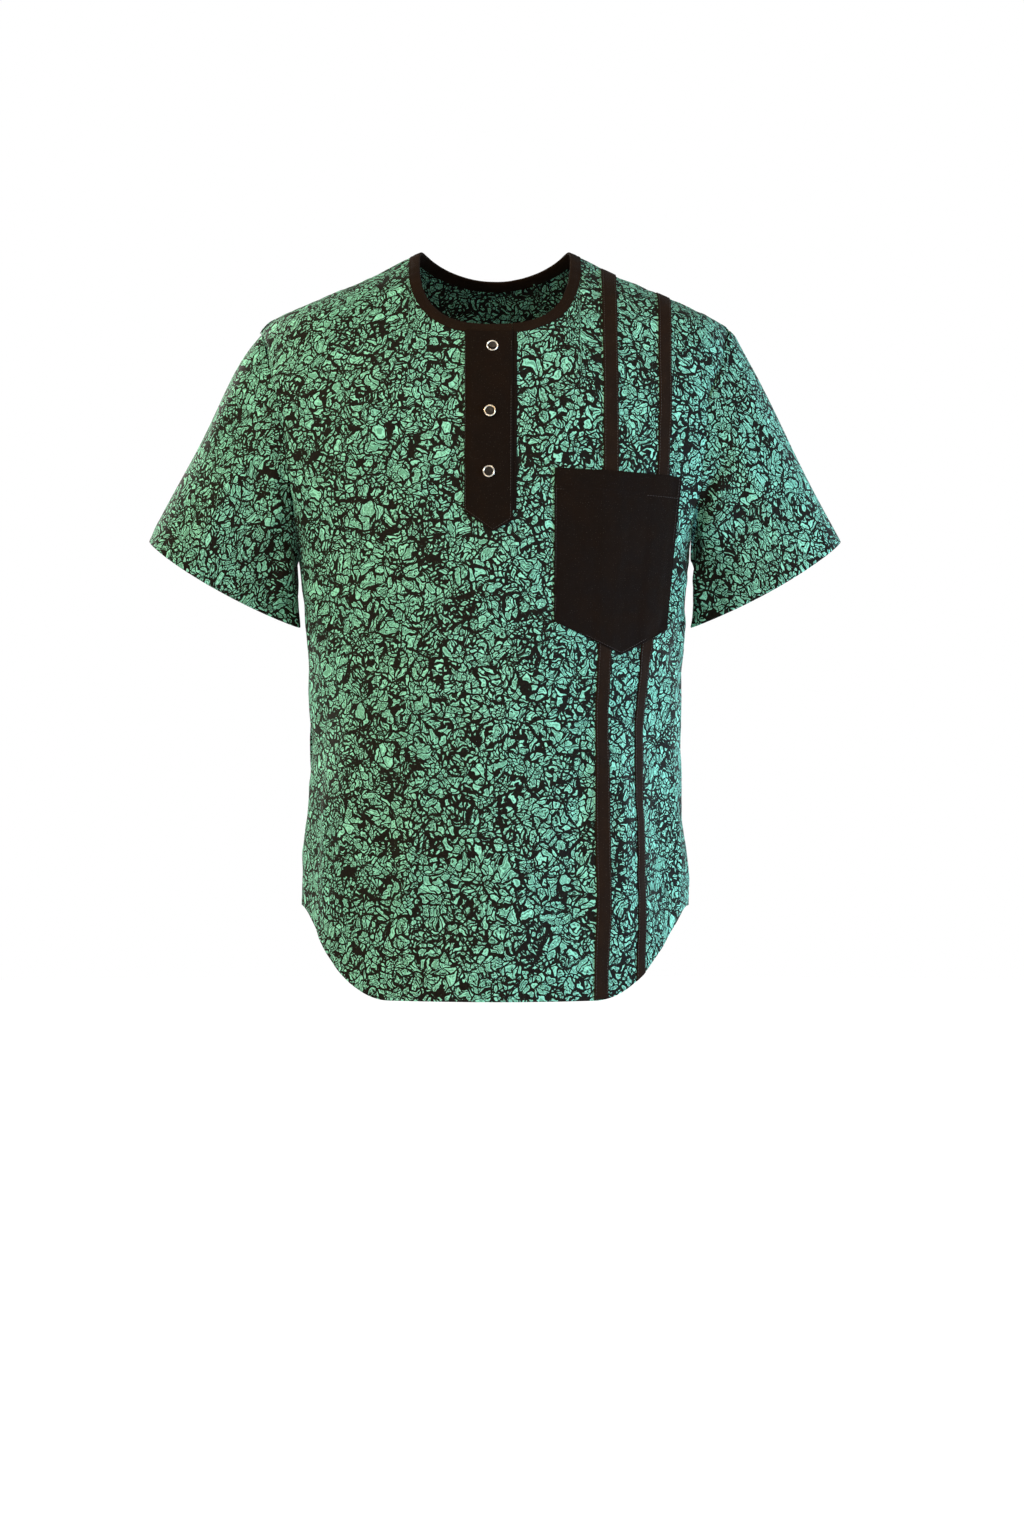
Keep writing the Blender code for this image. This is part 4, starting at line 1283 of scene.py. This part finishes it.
class SHIRT_OT_pocket(bpy.types.Operator):
    """Build the pointed patch pocket"""
    bl_idname = "shirt.pocket"
    bl_label = "Pocket"

    def execute(self, context):
        stitch = context.scene.shirt_cloth.edge_stitch
        columns, number = column_table(TRIM_CELL)
        columns = columns[number["pocket_inner"] - 1:number["pocket_outer"] + 2]
        bare, _ = form_rows(FRONT, columns, TRIM_CELL)
        points, outward = dressed(FRONT, bare)
        levels = points[:, 0, 2]
        inside = (levels > POCKET_LEVELS[0]) & (levels < POCKET_LEVELS[1])
        points = points[inside]
        places = cloth_map(points, 0, 0)
        bm = cloth_sheet(points, outward[inside], places, bottom=pocket_lift(columns[:, 0]))
        outline = POCKET_OUTLINE + POCKET_OUTLINE[:1]
        trim_outline(bm, list(zip(outline, outline[1:])))
        for inset in (POCKET_FOLD - 0.001, POCKET_FOLD, POCKET_FOLD + 0.001):
            trim(bm, *outline[:2], inset, cut_away=False)
        upper, lower = height_layers(bm)
        for vert in bm.verts:
            distance = edge_distance(vert, outline)
            below_top = edge_distance(vert, outline[:2])
            folded_in = POCKET_HEM_RISE * float(smoothstep((POCKET_FOLD + 0.0001 - below_top) / 0.001))
            slack = POCKET_SLACK * float(smoothstep((distance - 0.004) / 0.045))
            height = folded_edge(distance, POCKET_WALL, stitch) + folded_in + slack
            vert[upper] = vert[lower] + REST_GAP + height
            vert[lower] = vert[lower] + TRIM_UNDERSIDE
        piece = finish_cloth("pocket", bm, named_material("dark_cotton_pocket", dark_cotton, 1.0),
                             ("pocket",))
        return {"FINISHED"}


class SHIRT_OT_placket(bpy.types.Operator):
    """Build the placket's underlap and its pointed top layer"""
    bl_idname = "shirt.placket"
    bl_label = "Placket"

    def execute(self, context):
        stitch = context.scene.shirt_cloth.edge_stitch
        material = named_material("dark_cotton_placket", dark_cotton, 1.0)
        points, outward, places, height, _ = strip(
            "underlap_left", "underlap_right", UNDERLAP_FOOT_Z, UNDERLAP_TOP)
        bm = cloth_sheet(points, outward, places, height, 0.00015)
        under = finish_cloth("placket_under", bm, material, ("placket_under",))

        bare, _ = form_rows(FRONT, strip_columns("placket_left", "placket_right"), TRIM_CELL)
        points, outward = rows_above(PLACKET_TIP_Z - 0.006, 0, *dressed(FRONT, bare))
        places = cloth_map(points, STRIP_MIDDLE, 0)
        across = lengths(points, 1)
        # Until its heights are set, each vertex keeps its distances from the two long edges in their place
        bm = cloth_sheet(points, outward, places, across, across[:, -1:] - across)
        foot = PLACKET_OUTLINE[::-1]
        trim_outline(bm, list(zip(foot, foot[1:])))
        upper, lower = height_layers(bm)
        lift_span = 0.0045
        for vert in bm.verts:
            from_left = vert[upper]
            distance = min(from_left, vert[lower], edge_distance(vert, foot))
            raised = (vert.co.z - PLACKET_TIP_Z) / (PLACKET_FOLD_Z - PLACKET_TIP_Z)
            lift = UNDERLAP_TOP * min(max(raised, 0.0), 1.0) * float(smoothstep(from_left / lift_span))
            vert[lower] = lift + TRIM_UNDERSIDE
            vert[upper] = lift + REST_GAP + folded_edge(distance, PLACKET_WALL, stitch)
        over = finish_cloth("placket_over", bm, material, ("placket_over",))
        return {"FINISHED"}


def neckline():
    """The neckline from the placket's free edge round the neck and back, as points on the form."""
    start = LINE["placket_right"][2]
    line = []
    for facing, tops, shift in (
            (FRONT, np.linspace(start, 1.0, 34), 0.0),
            (BACK, np.linspace(1.0, -1.0, 66)[1:-1], SEAM_GAP),
            (FRONT, np.linspace(-1.0, start, 46), 0.0)):
        points, _ = dressed(facing, top_edge(facing, tops) + np.array((0.0, shift, 0.0)))
        line.append(points)
    return np.concatenate(line)


def binding_section():
    """Section of the folded strip as (rise, out), from its inner edge over the fold to its outer edge,
    and the height at which the fold begins."""
    middle = 0.5 * (BINDING_PROUD + BINDING_INSIDE)
    half = 0.5 * (BINDING_PROUD - BINDING_INSIDE)
    crown = BINDING_RISE - half
    inner = [(-0.0030, BINDING_INSIDE + 0.0004), (0.0010, BINDING_INSIDE), (0.5 * crown, BINDING_INSIDE)]
    fold = [
        (crown + half * math.sin(turn), middle - half * math.cos(turn))
        for turn in np.radians(range(0, 181, 30))]
    outer = [
        (rise, BINDING_PROUD + out) for rise, out in (
            (0.70 * crown, 0.00015), (0.35 * crown, 0.00025), (0.0016, 0.0001), (0.0007, -0.00015),
            (-0.0002, 0.0001), (-BINDING_OVERLAP, -0.0001))]
    return inner + fold + outer, crown


class SHIRT_OT_neck_binding(bpy.types.Operator):
    """Fold the bias binding over the neckline"""
    bl_idname = "shirt.neck_binding"
    bl_label = "Neck binding"

    def execute(self, context):
        line = neckline()
        run = lengths(line[None], 1)[0]
        steps = np.linspace(0.0, run[-1], 181)
        line = np.stack([np.interp(steps, run, line[:, axis]) for axis in range(3)], axis=-1)
        outward = form_outward(line)
        along = np.gradient(line, axis=0)
        upward = unit(np.cross(along, outward))
        upward *= np.sign(upward[:, 2:3])
        line[0] += SEAM_GAP * unit(along[0])
        line[-1] -= SEAM_GAP * unit(along[-1])
        section, crown = binding_section()
        ripple = 0.00022 * waves(np.stack([steps, steps * 0.0], axis=-1), 0.013, 91)
        rows = []
        for rise, out in section:
            swell = 1.0 if 0.0 < rise < crown else 0.3
            rows.append(line + rise * upward + (out + swell * ripple)[:, None] * outward)
        points = np.array(rows)
        normal = unit(np.cross(np.gradient(points, axis=1), np.gradient(points, axis=0)))
        if np.sum(normal[-1] * outward) < 0.0:
            normal = -normal
        places = np.stack([np.ones((len(rows), 1)) * steps, lengths(points, 0)], axis=-1)
        bm = cloth_sheet(points, normal, places, bottom=-0.0005)
        piece = finish_cloth("neck_binding", bm, named_material("dark_cotton_binding", dark_cotton, 1.6),
                             ("neck_binding",))
        return {"FINISHED"}


def surface_of(name):
    """The finished piece's surface, for placing things on it."""
    mesh = bpy.data.objects[name].data
    return BVHTree.FromPolygons([v.co[:] for v in mesh.vertices], [p.vertices[:] for p in mesh.polygons])


def on_front(surface, x, z):
    """The place and the way out where a level line from the front meets a piece."""
    place, outward, _, _ = surface.ray_cast(Vector((x, -1.0, z)), Vector((0.0, 1.0, 0.0)))
    if place is None:
        raise RuntimeError(f"Nothing lies behind x {x:.4f}, z {z:.4f}")
    return place, outward


def turned(profile, sides=40):
    """Spin a profile of (radius, height) corners about the vertical axis."""
    bm = bmesh.new()
    corners = [bm.verts.new((radius, 0.0, height)) for radius, height in profile]
    edges = [bm.edges.new(pair) for pair in zip(corners, corners[1:])]
    bmesh.ops.spin(
        bm, geom=corners + edges, cent=(0.0, 0.0, 0.0), axis=(0.0, 0.0, 1.0),
        angle=2.0 * math.pi, steps=sides, use_merge=True)
    bmesh.ops.remove_doubles(bm, verts=bm.verts[:], dist=0.000001)
    bmesh.ops.recalc_face_normals(bm, faces=bm.faces[:])
    return bm


class SHIRT_OT_snaps(bpy.types.Operator):
    """Set the three ring snaps on the placket"""
    bl_idname = "shirt.snaps"
    bl_label = "Snaps"

    def execute(self, context):
        given = context.scene.shirt_trim
        radius = given.snap_radius
        inner = radius - given.snap_rim
        middle = 0.5 * (radius + inner)
        wall = 0.00045
        dome = 0.00075
        arc = [
            (middle + 0.5 * given.snap_rim * math.cos(turn), wall + dome * math.sin(turn))
            for turn in np.radians(range(20, 161, 20))]
        rim = [(inner, 0.0), (radius, 0.0), (radius, wall), *arc, (inner, wall), (inner, 0.0)]
        reach = inner - 0.0003
        # Share of the cap's radius and height, from its flat underside up to a ridge and a dome
        cap = [(share * reach, height) for share, height in (
            (0.0, 0.0), (1.0, 0.0), (1.0, 0.00030), (0.93, 0.00048), (0.80, 0.00055),
            (0.70, 0.00048), (0.45, 0.00062), (0.20, 0.00074), (0.0, 0.00078))]
        surface = surface_of("placket_over")
        for number, (x, z, painted_glint) in enumerate(SNAPS, start=1):
            place, outward = on_front(surface, x, z)
            seat = outward.to_track_quat("Z", "Y").to_matrix().to_4x4()
            seat.translation = place + 0.0001 * outward
            # Each rim has its own material, with its own share of painted golden reflection
            for part, profile, material, slot in (
                    ("ring", rim, snap_rim(f"snap_rim_{number}", painted_glint), "snap_metal"),
                    ("cap", cap, named_material("snap_lacquer", snap_lacquer), "snap_cap")):
                bm = turned(profile)
                bmesh.ops.transform(bm, matrix=seat, verts=bm.verts[:])
                name = f"snap_{part}_{number}"
                finish(name, bm, material, (name,), sharp=35.0)
        return {"FINISHED"}


def stitch_bead():
    """The mesh of one stitch, a slim bead of unit size."""
    bead = bpy.data.meshes.get("stitch_bead")
    if bead is None:
        bm = bmesh.new()
        bmesh.ops.create_uvsphere(bm, u_segments=6, v_segments=4, radius=1.0)
        bead = bpy.data.meshes.new("stitch_bead")
        bm.to_mesh(bead)
        bm.free()
    return bead


def lay_stitches(bm, line, outward):
    """Lay a run of stitches along a line of points, each a slim bead half sunk in the cloth."""
    given = bpy.context.scene.shirt_cloth
    line = np.asarray(line)
    outward = np.asarray(outward)
    run = lengths(line[None], 1)[0]
    count = int(run[-1] / given.stitch_pitch)

    def at(distance, values):
        return Vector([float(np.interp(distance, run, values[:, axis])) for axis in range(3)])

    for i in range(count):
        start = (i + 0.1) * run[-1] / count
        first = at(start, line)
        last = at(start + given.stitch, line)
        out = at(start + 0.5 * given.stitch, outward).normalized()
        along = last - first
        side = out.cross(along).normalized()
        axes = (side * 0.5 * given.thread, out * 0.42 * given.thread, along * 0.5)
        seat = Matrix(axes).transposed().to_4x4()
        seat.translation = 0.5 * (first + last) + 0.25 * given.thread * out
        stitch = stitch_bead().copy()
        stitch.transform(seat)
        bm.from_mesh(stitch)
        bpy.data.meshes.remove(stitch)


def run_on_front(surface, corners, step=0.004):
    """Points and ways out along straight (x, z) runs, cast on to a piece from the front."""
    line = []
    outward = []
    for start, end in zip(corners, corners[1:]):
        cells = max(2, round(math.dist(start, end) / step))
        for i in range(cells + 1):
            place, out = on_front(surface, *(blend(a, b, i / cells) for a, b in zip(start, end)))
            line.append(place[:])
            outward.append(out[:])
    return line, outward


def inset_corners(outline, inset):
    """The corners of a closed (x, z) outline moved inwards by the inset."""
    moved = []
    count = len(outline)
    for i in range(count):
        (x0, z0), (x1, z1), (x2, z2) = outline[i - 1], outline[i], outline[(i + 1) % count]
        before = unit(np.array((z1 - z0, -(x1 - x0))))
        after = unit(np.array((z2 - z1, -(x2 - x1))))
        way = unit(before + after)
        moved.append(np.array((x1, z1)) + way * inset / float(np.dot(way, after)))
    return moved


def rising(places, values):
    """Places in rising order with their values, as np.interp wants them."""
    index = np.argsort(places)
    return places[index], values[index]


class SHIRT_OT_stitching(bpy.types.Operator):
    """Sew the topstitching of the bands, the pocket and the placket"""
    bl_idname = "shirt.stitching"
    bl_label = "Stitching"

    def sew(self, name, runs):
        bm = bmesh.new()
        for line, outward in runs:
            lay_stitches(bm, line, outward)
        finish(name, bm, named_material("sewing_thread", sewing_thread), sharp=180.0)

    def execute(self, context):
        inset = context.scene.shirt_cloth.edge_stitch
        runs = []
        for name in ("inner", "outer"):
            points, outward, _, height, distance = band_strip(name)
            surface = points + height[..., None] * outward
            for side in (slice(0, STRIP_MIDDLE + 1), slice(STRIP_MIDDLE, None)):
                line = [
                    [np.interp(inset, *rising(distance[row, side], surface[row, side, axis]))
                     for axis in range(3)]
                    for row in range(1, len(points) - 1)]
                runs.append((line, outward[1:-1, STRIP_MIDDLE]))
        self.sew("band_stitching", runs)

        surface = surface_of("pocket")
        corners = inset_corners(POCKET_OUTLINE, inset)
        share = POCKET_FOLD / POCKET_SIDE
        fold = [blend(corners[0], corners[-1], share), blend(corners[1], corners[2], share)]
        around = corners[1:] + corners[:1]
        self.sew("pocket_stitching", [run_on_front(surface, around), run_on_front(surface, fold)])

        corners = [(x + across * inset, z + up * inset) for x, z, across, up in PLACKET_SEWING]
        self.sew("placket_stitching", [run_on_front(surface_of("placket_over"), corners)])
        return {"FINISHED"}


class SHIRT_OT_stage(bpy.types.Operator):
    """Set up the floor, the lights and the camera"""
    bl_idname = "shirt.stage"
    bl_label = "Stage"

    def execute(self, context):
        scene = context.scene
        given = scene.shirt_stage
        bm = bmesh.new()
        bmesh.ops.create_circle(bm, cap_ends=True, radius=12.0, segments=64)
        bmesh.ops.translate(bm, vec=(0.0, 0.0, given.floor_z), verts=bm.verts[:])
        mesh = bpy.data.meshes.new("floor")
        bm.to_mesh(mesh)
        bm.free()
        mesh.materials.append(studio_floor("floor_paint"))
        floor = bpy.data.objects.new("floor", mesh)
        scene.collection.objects.link(floor)

        scene.world = bpy.data.worlds.new("studio")
        scene.world.use_nodes = True
        tree = scene.world.node_tree
        g = Graph(tree)
        seen = g.add("LightPath")["Is Camera Ray"]
        g.feed(tree.nodes["Background"].inputs, {
            "Color": (1.0, 1.0, 1.0, 1.0), "Strength": g.times_plus(seen, 1.0 - given.sky, given.sky)})

        for name, place, size, power, share, tint in LAMPS:
            light = bpy.data.lights.new(name, "AREA")
            light.shape = "RECTANGLE"
            light.size, light.size_y = size
            light.energy = share * getattr(given, power)
            light.color = tint
            lamp = bpy.data.objects.new(name, light)
            lamp.location = place
            lamp.rotation_euler = (Vector(LAMP_AIM) - Vector(place)).to_track_quat("-Z", "Y").to_euler()
            scene.collection.objects.link(lamp)

        view = bpy.data.cameras.new("camera")
        view.lens = given.lens
        view.sensor_width = 36.0
        view.sensor_fit = "AUTO"
        camera = bpy.data.objects.new("camera", view)
        camera.location = given.camera_place
        camera.rotation_euler = (math.radians(90.0), 0.0, 0.0)
        scene.collection.objects.link(camera)
        scene.camera = camera
        scene.view_settings.view_transform = "Standard"
        scene.view_settings.look = "None"
        return {"FINISHED"}


OPERATORS = (
    SHIRT_OT_front_and_back, SHIRT_OT_side_turnings, SHIRT_OT_sleeves, SHIRT_OT_bands, SHIRT_OT_pocket,
    SHIRT_OT_placket, SHIRT_OT_neck_binding, SHIRT_OT_snaps, SHIRT_OT_stitching, SHIRT_OT_stage,
)
SETTINGS = (
    ("shirt_cloth", ShirtCloth), ("shirt_print", ShirtPrint), ("shirt_trim", ShirtTrim),
    ("shirt_stage", ShirtStage),
)


class SHIRT_PT_panel(bpy.types.Panel):
    """Lists the pieces of the shirt and their settings"""
    bl_idname = "SHIRT_PT_panel"
    bl_label = "African print shirt"
    bl_space_type = "VIEW_3D"
    bl_region_type = "UI"
    bl_category = "Shirt"

    def draw(self, context):
        for operator in OPERATORS:
            self.layout.operator(operator.bl_idname)
        for name, kind in SETTINGS:
            box = self.layout.box()
            box.label(text=kind.__doc__)
            for setting in kind.__annotations__:
                box.prop(getattr(context.scene, name), setting)


CLASSES = tuple(kind for _, kind in SETTINGS) + OPERATORS + (SHIRT_PT_panel,)


def register():
    for kind in CLASSES:
        bpy.utils.register_class(kind)
    for name, kind in SETTINGS:
        setattr(bpy.types.Scene, name, bpy.props.PointerProperty(type=kind))


def unregister():
    for name, _ in SETTINGS:
        delattr(bpy.types.Scene, name)
    for kind in reversed(CLASSES):
        bpy.utils.unregister_class(kind)


def main():
    register()
    for operator in OPERATORS:
        group, name = operator.bl_idname.split(".")
        getattr(getattr(bpy.ops, group), name)()


if __name__ == "__main__":
    main()
